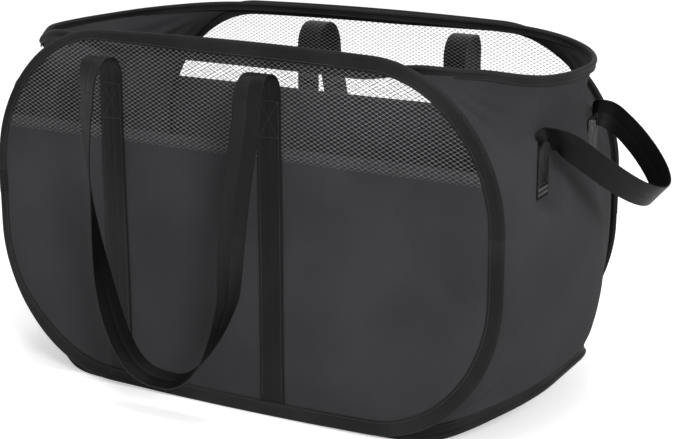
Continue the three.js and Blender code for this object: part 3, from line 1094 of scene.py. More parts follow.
        def placed(along: Array, depth: Array, across: Array) -> Array:
            """Points on the tape.

            Args:
                along: Shares along it.
                depth: How far into the loop.
                across: How far off the loop's middle.

            Returns:
                The points, in millimetres.
            """
            index = np.rint((start + along * share) * count).astype(int) % count
            side = np.sign(across)
            far = ramp(depth, (self.bead, self.bead_ease))
            crimp = waves(reach[index], self.leg_shift * side, seed, self.pucker_wave) * gathered[index]
            swell = self.bead_swell * waves(reach[index], 0 * depth, swell_seed, self.swell_wave)
            middle = np.where(depth < self.bead, across * (1 + swell * (1 - far)), across)
            middle = middle * np.where(depth < self.lap_bead, scale, 1)
            middle = middle + side * far * (np.abs(crimp) * self.pucker + (scale - 1) * self.lap_lift)
            middle = middle + side * self.raised(points[index], side, depth)
            deep = self.fold_radius + (depth - self.fold_radius) * scale
            return self.at(points[index], outward[index], deep, middle)

        least_columns = 6
        columns = max(round(self.stations * share), least_columns)
        bm = swept(self.section(), columns, share == 1, placed, reach[-1] * share)
        return made(bm, name, TAPE, self.body)

    def seam(self) -> bpy.types.Object:
        """The rows of stitches that hold the tape's two legs.

        Returns:
            The piece.
        """
        points, outward = self.outline.line(self.seam_places)
        rows = []
        for side in (-1, 1):
            lift = self.raised(points, side, self.stitch_inset)
            level = side * (self.leg_level - self.stitch_sink + lift)
            path = self.at(points, outward, self.stitch_inset, level)
            above = self.at(points, outward, self.stitch_inset, level + side)
            rows.append(STITCH.row(path, above - path, True))
        return made(joined(rows), f"{self.lie.value}_binding_stitches", THREAD, self.body)

    def wire(self) -> None:
        """The spring wire inside the tape, where the shown loop lies off its plain line."""
        points, outward = self.outline.line(self.stations)
        path = self.at(points, outward, self.fold_radius, 0.0)
        above = self.at(points, outward, self.fold_radius, 1.0)
        tube = Thread(radius=self.wire_radius, sides=self.wire_sides).tube(path, above - path, True)
        wire = made(tube, f"{self.lie.value}_loop_wire", SPRING, self.body)
        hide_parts(f"{self.lie.value}_spring_wire")

    def dress(self) -> bpy.types.Object:
        """Builds the loop's tape and stitches, and finishes its wire and tube.

        Returns:
            The tape.
        """
        tape = self.tape(f"{self.lie.value}_binding_tape", 0.0, 1.0, 1.0)
        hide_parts(f"{self.lie.value}_binding")
        self.seam()
        if self.lap_place:
            points, _ = self.outline.line(self.stations)
            nearest = np.linalg.norm(points - self.lap_place, axis=1).argmin()
            start = nearest / self.stations
            self.tape(f"{self.lie.value}_binding_lap", start, self.lap_share, self.lap_scale)
        kept = {f"{self.lie.value}_wire_sleeve": PLATED}
        if self.lie is Lie.FRONT:
            kept[f"{self.lie.value}_spring_wire"] = SPRING
        else:
            self.wire()
        for node, finish in kept.items():
            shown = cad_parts[node]
            shown.data.materials.clear()
            shown.data.materials.append(finish.material())
        return tape


# Webbing


@dataclass(frozen=True)
class Webbing:
    """Ribbed webbing with thick rolled edges and a fine centre line."""

    width: float = 29.0
    thickness: float = 1.6

    def section(self) -> Array:
        """The strap's section: place across, height, and place on the flat strap.

        Returns:
            The section's points, in order round it.
        """
        half, high, level = self.width / 2, self.thickness / 2, 0.8
        right = [
            (0.45, 0.71), (0.9, 0.79), (5.0, level), (10.0, level),
            (half - 2.0, 0.74), (half - 1.1, level), (half - 0.35, 0.72), (half - 0.05, 0.3),
        ]
        face = [(-across, height) for across, height in reversed(right)] + right
        top = [(across, height / level * high) for across, height in face]
        under = [(across, -height) for across, height in reversed(top)]
        points = np.array(top + under)
        return np.column_stack([points, points[:, 0]])

    def strap(self, path: Array, wide: Array, count: int,
              settle: Callable[[Array], Array]) -> bmesh.types.BMesh:
        """A strap along a path.

        Args:
            path: Its middle line, in millimetres.
            wide: The direction of its width at each point of the path.
            count: How many steps it has.
            settle: Moves its points onto what it lies on.

        Returns:
            The closed mesh.
        """
        fine = spaced(np.column_stack([path, wide]), count + 1, False)
        middle = fine[:, :3]
        along = unit(np.vstack([middle[1:], middle[-1:]]) - np.vstack([middle[:1], middle[:-1]]))
        across = fine[:, 3:] - (fine[:, 3:] * along).sum(1, keepdims=True) * along
        across = unit(across)
        high = np.cross(along, across)

        def placed(share: Array, first: Array, second: Array) -> Array:
            """Points on the strap, from the share along it and the section's two coordinates."""
            index = np.rint(share * count).astype(int)
            return settle(middle[index] + across[index] * first[:, None] + high[index] * second[:, None])

        return swept(self.section(), count, False, placed, lengths_along(middle, False)[-1])


STRAP = Webbing()


# Flat sheets


def cut_sheet(outline: Outline, inset: float, low: float, high: float, cell: float,
              place: Callable[[Array], Array]) -> bmesh.types.BMesh:
    """A sheet cut to an outline between two levels.

    Args:
        outline: The outline.
        inset: How far inside it the cut lies.
        low: The lower level.
        high: The upper level.
        cell: The mesh's usual step.
        place: Gives points in space from flat places.

    Returns:
        The sheet's middle surface.
    """
    width, on_edge = outline.width - 2 * inset, 1e-6
    outside = np.array([])

    def placed(along: Array, up: Array) -> Placed:
        """Points and flat places, and a note of which lie outside the cut.

        Args:
            along: Shares across the sheet.
            up: Shares up it.

        Returns:
            The points and their flat places.
        """
        nonlocal outside
        flat = np.column_stack([(along - 0.5) * width, low + up * (high - low)])
        depth, edge = outline.nearest(flat, inset)
        outside = depth < on_edge
        flat = np.where(outside[:, None], edge, flat)
        return place(flat), flat

    bm = shaped_grid(round(width / cell), round((high - low) / cell), placed)
    gone = [face for face in bm.faces if all(outside[vertex.index] for vertex in face.verts)]
    bmesh.ops.delete(bm, geom=gone, context="FACES")
    bmesh.ops.remove_doubles(bm, verts=bm.verts, dist=cell * MM / 8)
    bmesh.ops.recalc_face_normals(bm, faces=bm.faces)
    return bm


@dataclass
class BaseCloth:
    """The floor of the hamper."""

    loop: WireLoop
    cut: tuple[float, float] = (0.637, 0.306)
    inset: float = 5.6
    cell: float = 6.0
    thickness: float = 0.8
    swell: float = 0.9
    swell_wave: float = 170.0
    swell_seed: int = 51
    swell_end: float = 0.86
    swell_ease: float = 0.5

    def dress(self, rests_on: bpy.types.Object) -> None:
        """Builds the cloth.

        Args:
            rests_on: The tape that holds it; not used.
        """
        outline = self.loop.outline

        def placed(flat: Array) -> Array:
            """Points on the swelling floor.

            Args:
                flat: Places on it.

            Returns:
                The points, in millimetres.
            """
            share = (np.abs(flat / (np.array([outline.width, outline.height]) / 2)) ** 3).sum(1)
            held = smooth_step((self.swell_end - share) / self.swell_ease)
            ripple = waves(flat[:, 0], flat[:, 1], self.swell_seed, self.swell_wave)
            rise = self.swell * (1 + ripple) * held
            lifted = self.loop.lift(flat[:, 0]) + self.loop.risen(flat[:, 0], flat[:, 1])
            height = self.loop.base_middle + lifted + np.maximum(rise, 0)
            return np.column_stack([flat, height])

        half = outline.height / 2 - self.inset
        bm = cut_sheet(outline, self.inset, -half, half, self.cell, placed)
        area = sum(face.calc_area() for face in bm.faces)
        thickened(bm, self.thickness)
        cloth = made(bm, "base_cloth", CLOTH, Body.BASE)
        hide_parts("base_panel")


@dataclass
class Face:
    """The front or back: woven cloth below, net above, and a long handle sewn on."""

    side: int
    loop: WireLoop
    handle_body: Body
    handle_offset: float
    cut: tuple[float, float] = (0.607, 0.292)
    still: tuple[float, float] = (296.0, 187.0)
    still_ease: float = 0.32
    broad_wave: float = 190.0
    gather: float = 0.22
    gather_wave: float = 17.0
    gather_rise: float = 5.0
    gather_reach: float = 16.0
    net_foot: float = 285.0
    net_head: float = 400.0
    net_reach: float = 70.0
    net_width: float = 600.0
    net_height: float = 120.0
    lap: float = 13.0
    lap_ease: float = 12.0
    seam_rise: float = 6.0
    seam_half_width: float = 286.0
    seam_places: int = 240
    strap_bow: float = 10.0
    bow_start: float = 0.05
    bow_end: float = 0.45
    leg_power: float = 0.65
    leg_bow: float = 3.0
    cloth_thickness: float = 0.8
    inset: float = 6.5
    cell: float = 5.0
    swell: float = 0.9
    net_inset: float = 9.0
    net_pitch: float = 7.7
    net_rise: float = 2.25
    hole_half_width: float = 3.15
    hole_half_height: float = 1.82
    hole_power: float = 1.2
    yarn_thickness: float = 0.6
    net_lap_level: float = 0.8
    handle_span: float = 196.0
    strap_level: float = 1.5
    stitch_top: float = 352.0
    strap_foot: float = 13.0
    arch_rise: float = 25.0
    arch_reach: float = 22.0
    arch_flat: float = 3.0
    arch_drop: float = 40.0
    loop_length: float = 304.0
    loop_lean: float = 6.0
    arch_twist: float = 28.0
    foot_twist: float = 106.0
    run_places: int = 60
    arch_places: int = 16
    leg_places: int = 90
    free_starts: tuple[float, float] = (182.0, 190.0)
    first_twist: float = 0.27
    first_ramp: Ramp = (0.0, 0.17)
    second_ramp: Ramp = (0.14, 0.45)
    late_ramp: Ramp = (0.1, 0.72)
    settled_ramp: Ramp = (168.0, 10.0)
    strap_steps: int = 400
    box_half_width: float = 11.0
    box_levels: tuple[float, float] = (6.0, 44.0)
    edge_row: float = 11.6
    row_foot: float = 24.0
    row_places: int = 90
    thread_sink: float = 0.12

    @property
    def name(self) -> str:
        """The side's word in the pieces' names."""
        return "front" if self.side < 0 else "back"

    @property
    def middle_height(self) -> float:
        """The height of the face's middle."""
        return self.loop.panel_height / 2

    def ripple(self, x: Array, z: Array) -> Array:
        """How far the stretched face stands off its plane, outward.

        Args:
            x: Places along the face, in millimetres.
            z: Heights.

        Returns:
            The distances.
        """
        half_width, half_height = self.still
        share = (np.abs(x / half_width) ** 3 + np.abs((z - self.middle_height) / half_height) ** 3) ** (1 / 3)
        held = smooth_step((1 - share) / self.still_ease)
        broad_seed, gather_seed = 30 + self.side, 40 + self.side
        broad = waves(x, z * 0.5, broad_seed, self.broad_wave) * self.swell
        near = np.exp(-np.abs(z - self.net_foot - self.gather_rise) / self.gather_reach)
        return held * (broad + self.gather * waves(x, 0 * z, gather_seed, self.gather_wave) * near)

    def at(self, x: Array, z: Array, off: Array | float) -> Array:
        """Points on the face, a distance outside its middle surface."""
        out = self.side * (self.loop.half_spacing + off + self.ripple(x, z))
        return np.column_stack([x, out, self.loop.lowered(z)])

    def cloth(self, rests_on: bpy.types.Object) -> None:
        """Builds the woven lower panel, whose top edge runs up behind the net.

        Args:
            rests_on: The tape that holds it; not used.
        """
        top, middle = self.net_foot + self.lap, self.middle_height
        bm = cut_sheet(
            self.loop.outline, self.inset, self.inset - middle, top - middle, self.cell,
            lambda flat: self.at(flat[:, 0], flat[:, 1] + middle, 0.0),
        )
        area = sum(face.calc_area() for face in bm.faces)
        thickened(bm, self.cloth_thickness)
        cloth = made(bm, f"{self.name}_cloth", CLOTH, self.loop.body)
        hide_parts(f"{self.name}_panel")

    def net(self, rests_on: bpy.types.Object) -> None:
        """Builds the knitted net: yarns round staggered lozenge holes.

        Args:
            rests_on: The tape that holds it; not used.
        """
        half_width, half_height, spare = self.net_pitch / 2, self.net_rise, 6
        count = round(self.net_width / self.net_pitch + self.net_height / half_height / 2) + spare
        middle = (self.net_foot + self.net_head) / 2
        bm = bmesh.new()
        bmesh.ops.create_grid(bm, x_segments=count, y_segments=count, size=count / 2)
        for vertex in bm.verts:
            a, b = vertex.co.x, vertex.co.y
            vertex.co = ((a - b) * half_width, middle + (a + b) * half_height, 0)
        centres = np.array([face.calc_center_median()[:2] for face in bm.faces])
        wide = np.abs(centres[:, 0]) < self.loop.outline.width / 2
        near = wide & (np.abs(centres[:, 1] - middle) < self.net_reach)
        depth = np.full(len(centres), -1.0)
        depth[near] = self.loop.outline.nearest(centres[near] - [0, self.middle_height], self.net_inset)[0]
        gone = (depth < 0) | (centres[:, 1] < self.net_foot)
        bmesh.ops.delete(bm, geom=[face for face, away in zip(bm.faces[:], gone) if away], context="FACES")
        bmesh.ops.subdivide_edges(bm, edges=bm.edges[:], cuts=1)
        self.open_holes(bm)
        front = bm.faces[:]
        edge = {vertex for vertex in bm.verts if vertex.is_boundary}
        for vertex in bm.verts:
            vertex.co.z = 0 if vertex in edge else self.yarn_thickness / 2
        copy = bmesh.ops.duplicate(bm, geom=front)
        others = [part for part in copy["geom"] if isinstance(part, bmesh.types.BMFace)]
        bmesh.ops.reverse_faces(bm, faces=others)
        for vertex in {vertex for face in others for vertex in face.verts}:
            vertex.co.z = -vertex.co.z
        bmesh.ops.remove_doubles(bm, verts=bm.verts, dist=0.01)
        flat = np.array([vertex.co for vertex in bm.verts])
        over = self.net_lap_level * (1 - ramp(flat[:, 1] - self.net_foot, (self.lap, self.lap_ease)))
        set_flat_map(bm, flat[:, :2])
        set_points(bm, self.at(flat[:, 0], flat[:, 1], over + flat[:, 2]))
        bmesh.ops.recalc_face_normals(bm, faces=bm.faces)
        net = made(bm, f"{self.name}_net", NET, self.loop.body)
        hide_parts(f"{self.name}_mesh")

    def open_holes(self, bm: bmesh.types.BMesh) -> None:
        """Opens a rounded hole in each cell of the flat net.

        Args:
            bm: The flat net, whose cells have eight corners each.
        """
        cells = bm.faces[:]
        bmesh.ops.inset_individual(bm, faces=cells, thickness=0.3)
        for cell in cells:
            centre = cell.calc_center_median()
            for vertex in cell.verts:
                x, y = (vertex.co - centre).xy
                x, y = x / self.net_pitch, y / self.net_rise / 2
                size = (abs(x) ** self.hole_power + abs(y) ** self.hole_power) ** (1 / self.hole_power)
                hole = Vector((x / size * self.hole_half_width, y / size * self.hole_half_height, 0))
                vertex.co = centre + hole
        bmesh.ops.delete(bm, geom=cells, context="FACES")

    def lap_seam(self) -> None:
        """Sews the net's lower edge to the cloth behind it."""
        height = self.net_foot + self.seam_rise
        x = np.linspace(-self.seam_half_width, self.seam_half_width, self.seam_places)
        level = self.net_lap_level + self.yarn_thickness / 2 - self.loop.stitch_sink
        row = STITCH.row(self.at(x, 0 * x + height, level), np.array([0.0, self.side, 0.0]))
        made(row, f"{self.name}_lap_stitches", LIGHT_THREAD, self.loop.body)

    def twist(self, early: bool, share: Array) -> Array:
        """How far a free leg of the long handle is twisted out of the loop's plane.

        Args:
            early: Whether it is the leg that twists near its top.
            share: Places along the leg, from its top.

        Returns:
            The angles in degrees.
        """
        full = self.foot_twist - self.arch_twist
        if early:
            first = self.first_twist * ramp(share, self.first_ramp)
            second = (1 - self.first_twist) * ramp(share, self.second_ramp)
            return self.arch_twist + full * (first + second)
        return self.arch_twist + full * ramp(share, self.late_ramp)

    def handle_half(self, early: bool) -> tuple[Array, Array]:
        """Half of the handle: the left-hand sewn run, the arch and the free leg to the loop's foot.

        Args:
            early: Whether its leg twists near the top, as the front handle's left one does.

        Returns:
            The middle line, and the direction of the strap's width.
        """
        half = self.handle_span / 2
        face = self.loop.half_spacing + self.strap_level
        crown, top = face + self.arch_reach, self.stitch_top + self.arch_rise
        z = np.linspace(self.strap_foot, self.stitch_top, self.run_places)
        run = np.column_stack([0 * z - half, 0 * z + face, z])
        turn = np.linspace(0, math.pi / 2, self.arch_places)[1:]
        swing = self.arch_reach - self.arch_flat
        rise = np.column_stack([0 * turn - half, face + swing * (1 - np.cos(turn)),
                                self.stitch_top + self.arch_rise * np.sin(turn)])
        fall = np.column_stack([0 * turn - half, crown + self.arch_flat + swing * np.sin(turn),
                                top - self.arch_drop * (1 - np.cos(turn))])
        flat = np.array([[-half, crown, top], [-half, crown + self.arch_flat, top]])
        share = np.linspace(0, 1, self.leg_places)[1:]
        angle = share * math.pi / 2
        if early:
            bow = self.leg_bow * smooth_step(share / self.bow_start) * np.cos(angle)
            over = half * np.cos(angle) ** self.leg_power + bow
        else:
            bow = self.strap_bow * np.sin(math.pi * np.clip(share / self.bow_end, 0, 1))
            over = half * np.cos(angle) - bow
        leg = np.column_stack([-over, crown + self.arch_reach + self.loop_lean * np.sin(angle),
                               top - self.arch_drop - self.loop_length * np.sin(angle)])
        along = unit(np.gradient(leg, axis=0))
        spin = np.radians(self.twist(early, share))[:, None]
        outward = np.array([0.0, 1.0, 0.0])
        wide = unit(np.cross(along, outward)) * np.cos(spin) + outward * np.sin(spin)
        path = np.vstack([run, rise, flat, fall, leg])
        level = np.tile([1.0, 0.0, 0.0], (len(path) - len(leg), 1))
        turned = np.radians(self.arch_twist) * smooth_step(turn / turn[-1])[:, None]
        level[-len(fall):] = level[-len(fall):] * np.cos(turned) + outward * np.sin(turned)
        return path, np.vstack([level, wide])

    def settled(self, points: Array) -> Array:
        """Moves the sewn run of a strap with the rippled cloth under it."""
        shift = self.ripple(points[:, 0], points[:, 2]) * (1 - ramp(np.abs(points[:, 1]), self.settled_ramp))
        return points + np.column_stack([0 * shift, self.side * shift, 0 * shift])

    def handle(self) -> None:
        """Builds the long handle as one strap, from foot to foot."""
        left, left_wide = self.handle_half(self.side < 0)
        right, right_wide = self.handle_half(self.side > 0)
        right = (right * [-1, 1, 1])[::-1][1:]
        right_wide = (right_wide * [-1, 1, 1])[::-1][1:]
        place = np.array([1.0, self.side, 1.0])
        path = np.vstack([left, right]) * place + [self.handle_offset, 0, 0]
        wide = np.vstack([left_wide, right_wide]) * place
        bm = STRAP.strap(path, wide, self.strap_steps, self.settled)
        strap = made(bm, f"{self.name}_handle_strap", WEBBING, None)
        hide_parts(*(f"{self.name}_handle_{part}" for part in ("strap_left", "strap_right", "loop")))
        x, z = self.handle_offset * MM, (self.stitch_top + self.arch_rise) * MM
        start, end = ((x, self.side * place * MM, z) for place in self.free_starts)
        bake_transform(strap)
        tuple(start)
        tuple(end)

    def handle_stitches(self) -> None:
        """Sews both runs of the long handle down along their edges and across their tops."""
        rows = []
        outward = np.array([0.0, self.side, 0.0])
        level = self.strap_level + STRAP.thickness / 2 - self.thread_sink
        wide, (high, low) = self.box_half_width, self.box_levels
        for middle in (self.handle_offset - self.handle_span / 2, self.handle_offset + self.handle_span / 2):
            z = np.linspace(self.row_foot, self.stitch_top - high, self.row_places)
            for edge in (-self.edge_row, self.edge_row):
                rows.append(STITCH.row(self.at(0 * z + middle + edge, z, level), outward))
            for height in (self.stitch_top - high, self.stitch_top - low):
                x = np.linspace(middle - wide, middle + wide, 9)
                rows.append(STITCH.row(self.at(x, 0 * x + height, level), outward))
            corners = self.at(np.array([-wide, wide, -wide, wide]) + middle,
                              self.stitch_top - np.array([high, low, low, high]), level)
            for start, end in ((0, 1), (2, 3)):
                rows.append(STITCH.row(np.linspace(corners[start], corners[end], 12), outward))
        made(joined(rows), f"{self.name}_handle_stitches", THREAD, self.loop.body)

    def dress(self) -> None:
        """Builds every piece of this face."""
        tape = self.loop.dress()
        self.cloth(tape)
        self.net(tape)
        self.lap_seam()
        self.handle()
        self.handle_stitches()


# The soft ends


@dataclass
class SoftEnd:
    """A soft end: cloth stretched between the four loops, and a short handle."""

    side: int
    loops: dict[Lie, WireLoop]
    seat: Body
    grip: Body
    columns: int = 64
    rows: int = 72
    tension_grid: tuple[int, int] = (14, 18)
    search_places: int = 1400
    relax_rounds: int = 1500
    height_tension: float = 1.0
    depth_tension: float = 0.8
    fullness: float = 26.0
    full_powers: tuple[float, float, float] = (0.7, 0.8, 2.0)
    corner_blend: float = 0.3
    tuck: float = 13.0
    tuck_level: float = 1.0
    rim_tuck: float = 9.0
    front_starts: tuple[float, float] = (196.5, 204.0)
    rim_start: float = 204.0
    base_start: float = 214.5
    thickness: float = 0.8
    fold_height: float = 1.7
    fold_wave: float = 95.0
    edge_ease: float = 0.12
    top_pleat: float = 3.2
    foot_pleat: float = 2.6
    pleat_turns: float = 17.0
    pleat_place: float = 0.13
    pleat_spread: float = 0.12
    grip_span: float = 140.0
    tail_beside: tuple[float, float] = (28.0, 13.0)
    tail_below: tuple[float, float] = (18.0, 16.0)
    tail_above: tuple[float, float] = (16.0, 14.0)
    grip_face: float = 309.8
    stitch_foot: float = 256.0
    stitch_top: float = 309.0
    arch_rise: float = 8.0
    arch_reach: float = 8.0
    arch_flat: float = 3.0
    grip_reach: float = 88.0
    soft_bend: float = 25.0
    slope_share: float = 0.92
    twist_end: float = 0.16
    arch_twist: float = 62.0
    run_places: int = 14
    arch_places: int = 12
    loop_places: int = 121
    free_starts: tuple[float, float] = (314.5, 321.0)
    crumple_axis: tuple[float, float, float] = (0.0, -0.141, 0.990)
    crumple_anchor: tuple[float, float] = (313.0, 262.0)
    crumpled: float = 0.1
    strap_steps: int = 260
    box_half_width: float = 11.0
    box_levels: tuple[float, float] = (14.0, 5.0)
    tack_half_width: float = 12.5
    tack_half_height: float = 1.6
    tack_levels: tuple[float, float] = (4.0, 9.0)
    tack_turns: int = 44
    fringe_half_width: float = 13.5
    fringe_yarns: int = 19
    fringe_seed: int = 70
    fringe_radius: float = 0.22
    thread_sink: float = 0.1

    @property
    def name(self) -> str:
        """The side's word in the pieces' names."""
        return "left" if self.side < 0 else "right"

    def run(self, lie: Lie, starts: tuple[float, float], inset: float, across: float, count: int) -> Array:
        """Evenly spaced places along the right-hand part of a loop, from low to high.

        Args:
            lie: Which loop.
            starts: How far out it starts below and above.
            inset: How deep in the loop.
            across: How far off its middle.
            count: How many spans come back.

        Returns:
            The points.
        """
        loop = self.loops[lie]
        points, outward = loop.outline.line(self.search_places)
        order = np.argsort(np.arctan2(points[:, 1], points[:, 0]))
        points, outward = points[order], outward[order]
        kept = points[:, 0] > np.where(points[:, 1] < 0, starts[0], starts[1])
        here = np.array([self.side, 1])
        placed = loop.at(points[kept] * here, outward[kept] * here, inset, across)
        return spaced(placed * [self.side, 1, 1], count + 1, False)

    def edges(self) -> dict[str, Array]:
        """The four edges of the right-hand end cloth, with their corners drawn together.

        Returns:
            The edges by name.
        """
        rim_starts, base_starts = (self.rim_start, self.rim_start), (self.base_start, self.base_start)
        edges = {
            "front": self.run(Lie.FRONT, self.front_starts, self.tuck, self.tuck_level, self.rows),
            "back": self.run(Lie.BACK, self.front_starts, self.tuck, -self.tuck_level, self.rows),
            "top": self.run(Lie.RIM, rim_starts, self.rim_tuck, 0.0, self.columns),
            "foot": self.run(Lie.BASE, base_starts, self.tuck, self.tuck_level, self.columns),
        }
        for first, first_end, second, second_end in (
            ("front", 0, "foot", 0), ("front", -1, "top", 0),
            ("back", 0, "foot", -1), ("back", -1, "top", -1),
        ):
            middle = (edges[first][first_end] + edges[second][second_end]) / 2
            for name, end in ((first, first_end), (second, second_end)):
                edge = edges[name]
                places = np.arange(len(edge))
                distance = np.abs(places - places[end])
                share = np.clip(1 - distance / (self.corner_blend * (len(edge) - 1)), 0, 1) ** 2
                edges[name] = edge + (middle - edge[end]) * share[:, None]
        return edges

    def middle_surface(self) -> Array:
        """The relaxed right-hand end cloth.

        Returns:
            Points by row, from the foot up, and by column, from the front back.
        """
        edges = self.edges()
        u = np.linspace(0, 1, self.columns + 1)[None, :, None]
        v = np.linspace(0, 1, self.rows + 1)[:, None, None]
        across = edges["front"][:, None] * (1 - u) + edges["back"][:, None] * u
        up = edges["foot"][None] * (1 - v) + edges["top"][None] * v
        low = edges["foot"][0] * (1 - u) + edges["foot"][-1] * u
        high = edges["top"][0] * (1 - u) + edges["top"][-1] * u
        grid = across + up - (low * (1 - v) + high * v)
        plain_columns, plain_rows = self.tension_grid
        scale = (self.columns / plain_columns) ** 2 / (self.rows / plain_rows) ** 2
        level = self.depth_tension * scale
        total = 2 * (self.height_tension + level)
        for _ in range(self.relax_rounds):
            upright = self.height_tension * (grid[:-2, 1:-1] + grid[2:, 1:-1])
            grid[1:-1, 1:-1] = (upright + level * (grid[1:-1, :-2] + grid[1:-1, 2:])) / total
        return grid

    def folded(self, grid: Array) -> Array:
        """Adds soft folds, corner pleats, fullness and the pull of the handle to the right-hand end cloth.

        Args:
            grid: Its points by row and column.

        Returns:
            The moved points.
        """
        u = np.linspace(0, 1, self.columns + 1)[None, :]
        v = np.linspace(0, 1, self.rows + 1)[:, None]
        held = smooth_step(np.minimum(np.minimum(u, 1 - u), np.minimum(v, 1 - v)) / self.edge_ease)
        y, z = grid[..., 1], grid[..., 2]
        upright_share, taller, fold_seed = 0.3, 1.2, 60 + self.side
        soft = waves(y, z * upright_share, fold_seed, self.fold_wave) * self.fold_height
        pleats = np.zeros_like(y)
        for corner_u, corner_v in ((0, 1), (1, 1), (0, 0), (1, 0)):
            size = self.top_pleat if corner_v else self.foot_pleat
            over, up, phase = np.abs(u - corner_u), np.abs(v - corner_v) * taller, 1.3 * corner_u
            fan = size * np.sin(np.arctan2(up, over + TOUCHING) * self.pleat_turns + phase)
            pleats += fan * np.exp(-(((np.hypot(over, up) - self.pleat_place) / self.pleat_spread) ** 2))
        run_down = np.gradient(grid, axis=0)
        run_over = np.gradient(grid, axis=1)
        normal = unit(np.cross(run_over, run_down))
        moved = grid + normal * (held * (soft + pleats))[..., None]
        over, low, high = self.full_powers
        full = np.sin(math.pi * u) ** over * v ** low * (1 - v) ** high
        moved[..., 0] += self.fullness * full / full.max()
        below = self.stitch_foot - z
        above = z - self.stitch_top
        beside = 1.0
        for past, (reach, ease) in (
            (np.abs(np.abs(y) - self.grip_span / 2), self.tail_beside),
            (below, self.tail_below), (above, self.tail_above),
        ):
            beside = beside * smooth_step((reach - past) / ease)
        target = self.grip_face - STRAP.thickness / 2 - self.thickness / 2
        moved[..., 0] += (target - moved[..., 0]) * beside * held
        return moved

    def cloth(self, rests_on: bpy.types.Object) -> None:
        """Builds the end cloth.

        Args:
            rests_on: The tape that it hangs from; not used.
        """
        grid = self.folded(self.middle_surface()) * [self.side, 1, 1]
        wide = np.linalg.norm(np.diff(grid, axis=1), axis=2).sum(1)
        tall = np.linalg.norm(np.diff(grid, axis=0), axis=2).sum(0)

        def placed(along: Array, up: Array) -> Placed:
            """Points of the cloth and their flat places.

            Args:
                along: Shares from its front edge to its back edge.
                up: Shares from its foot to its top.

            Returns:
                The points and flat places, in millimetres.
            """
            column = np.rint(along * self.columns).astype(int)
            row = np.rint(up * self.rows).astype(int)
            flat = np.column_stack([(along - 0.5) * wide[row], (up - 0.5) * tall[column]])
            return grid[row, column], flat

        bm = shaped_grid(self.columns, self.rows, placed)
        bmesh.ops.recalc_face_normals(bm, faces=bm.faces)
        area = sum(face.calc_area() for face in bm.faces)
        thickened(bm, self.thickness)
        cloth = made(bm, f"{self.name}_end_cloth", CLOTH, self.seat)
        self.squashed(cloth)
        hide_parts(f"{self.name}_end_panel")
        size = (float(wide.max()) * MM, float(tall.max()) * MM)
        LOG.info("%s end cloth: flat %.3f x %.3f m, %.4f m2", self.name, *size, area)

    def squashed(self, piece: bpy.types.Object) -> None:
        """Gives a piece of the end its own copy of its mesh.

        Args:
            piece: The piece.
        """
        x, z = self.crumple_anchor
        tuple(self.crumple_axis)
        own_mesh(piece)

    def grip_path(self) -> tuple[Array, Array]:
        """The short handle's strap, from the front tail's foot to the back tail's.

        Returns:
            The middle line, and the direction of the strap's width, for the right-hand end.
        """
        half = self.grip_span / 2
        crown, top = self.grip_face + self.arch_reach, self.stitch_top + self.arch_rise
        z = np.linspace(self.stitch_foot, self.stitch_top, self.run_places)
        turn = np.linspace(0, math.pi / 2, self.arch_places)[1:]
        tail = np.vstack([
            np.column_stack([0 * z + self.grip_face, 0 * z - half, z]),
            np.column_stack([self.grip_face + (self.arch_reach - self.arch_flat) * (1 - np.cos(turn)),
                             0 * turn - half, self.stitch_top + self.arch_rise * np.sin(turn)]),
            [[crown, -half, top]],
        ])
        share = np.linspace(0, 1, self.loop_places)
        angle = share * math.pi
        out = self.grip_reach * np.sin(angle)
        drop = self.slope_share * out * out / (out + self.soft_bend)
        slope = self.slope_share * out * (out + 2 * self.soft_bend) / (out + self.soft_bend) ** 2
        loop = np.column_stack([crown + self.arch_flat + out, -half * np.cos(angle), top - drop])
        first = math.radians(self.arch_twist)
        spin = first + smooth_step(np.minimum(share, 1 - share) * 2 / self.twist_end) * (math.pi / 2 - first)
        upright = unit(np.column_stack([slope, 0 * slope, 1 + 0 * slope]))
        level = np.column_stack([0 * share, np.where(share < 0.5, -1.0, 1.0), 0 * share])
        wide = upright * np.sin(spin)[:, None] + level * np.cos(spin)[:, None]
        ends = np.tile([0.0, -1.0, 0.0], (len(tail), 1))
        arch = np.append(turn, math.pi / 2)
        turned = first * smooth_step(arch / arch[-1])[:, None]
        inward = np.column_stack([-np.cos(arch), 0 * arch, np.sin(arch)])
        ends[-len(arch):] = ends[-len(arch):] * np.cos(turned) + inward * np.sin(turned)
        path = np.vstack([tail, loop, (tail * [1, -1, 1])[::-1]])
        return path, np.vstack([ends, wide, (ends * [1, -1, 1])[::-1]])

    def handle(self) -> None:
        """Builds the short handle as one strap."""
        path, wide = self.grip_path()
        if self.side < 0:
            path, wide = path * [-1, -1, 1], wide * [-1, -1, 1]
        bm = STRAP.strap(path, wide, self.strap_steps, lambda points: points)
        strap = made(bm, f"{self.name}_grip_strap", WEBBING, None)
        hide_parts(*(f"{self.name}_handle_{part}" for part in ("tail_front", "tail_back", "loop")))
        height = (self.stitch_top + self.arch_rise) * MM
        start, end = ((self.side * place * MM, 0, height) for place in self.free_starts)
        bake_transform(strap)
        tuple(start)
        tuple(end)

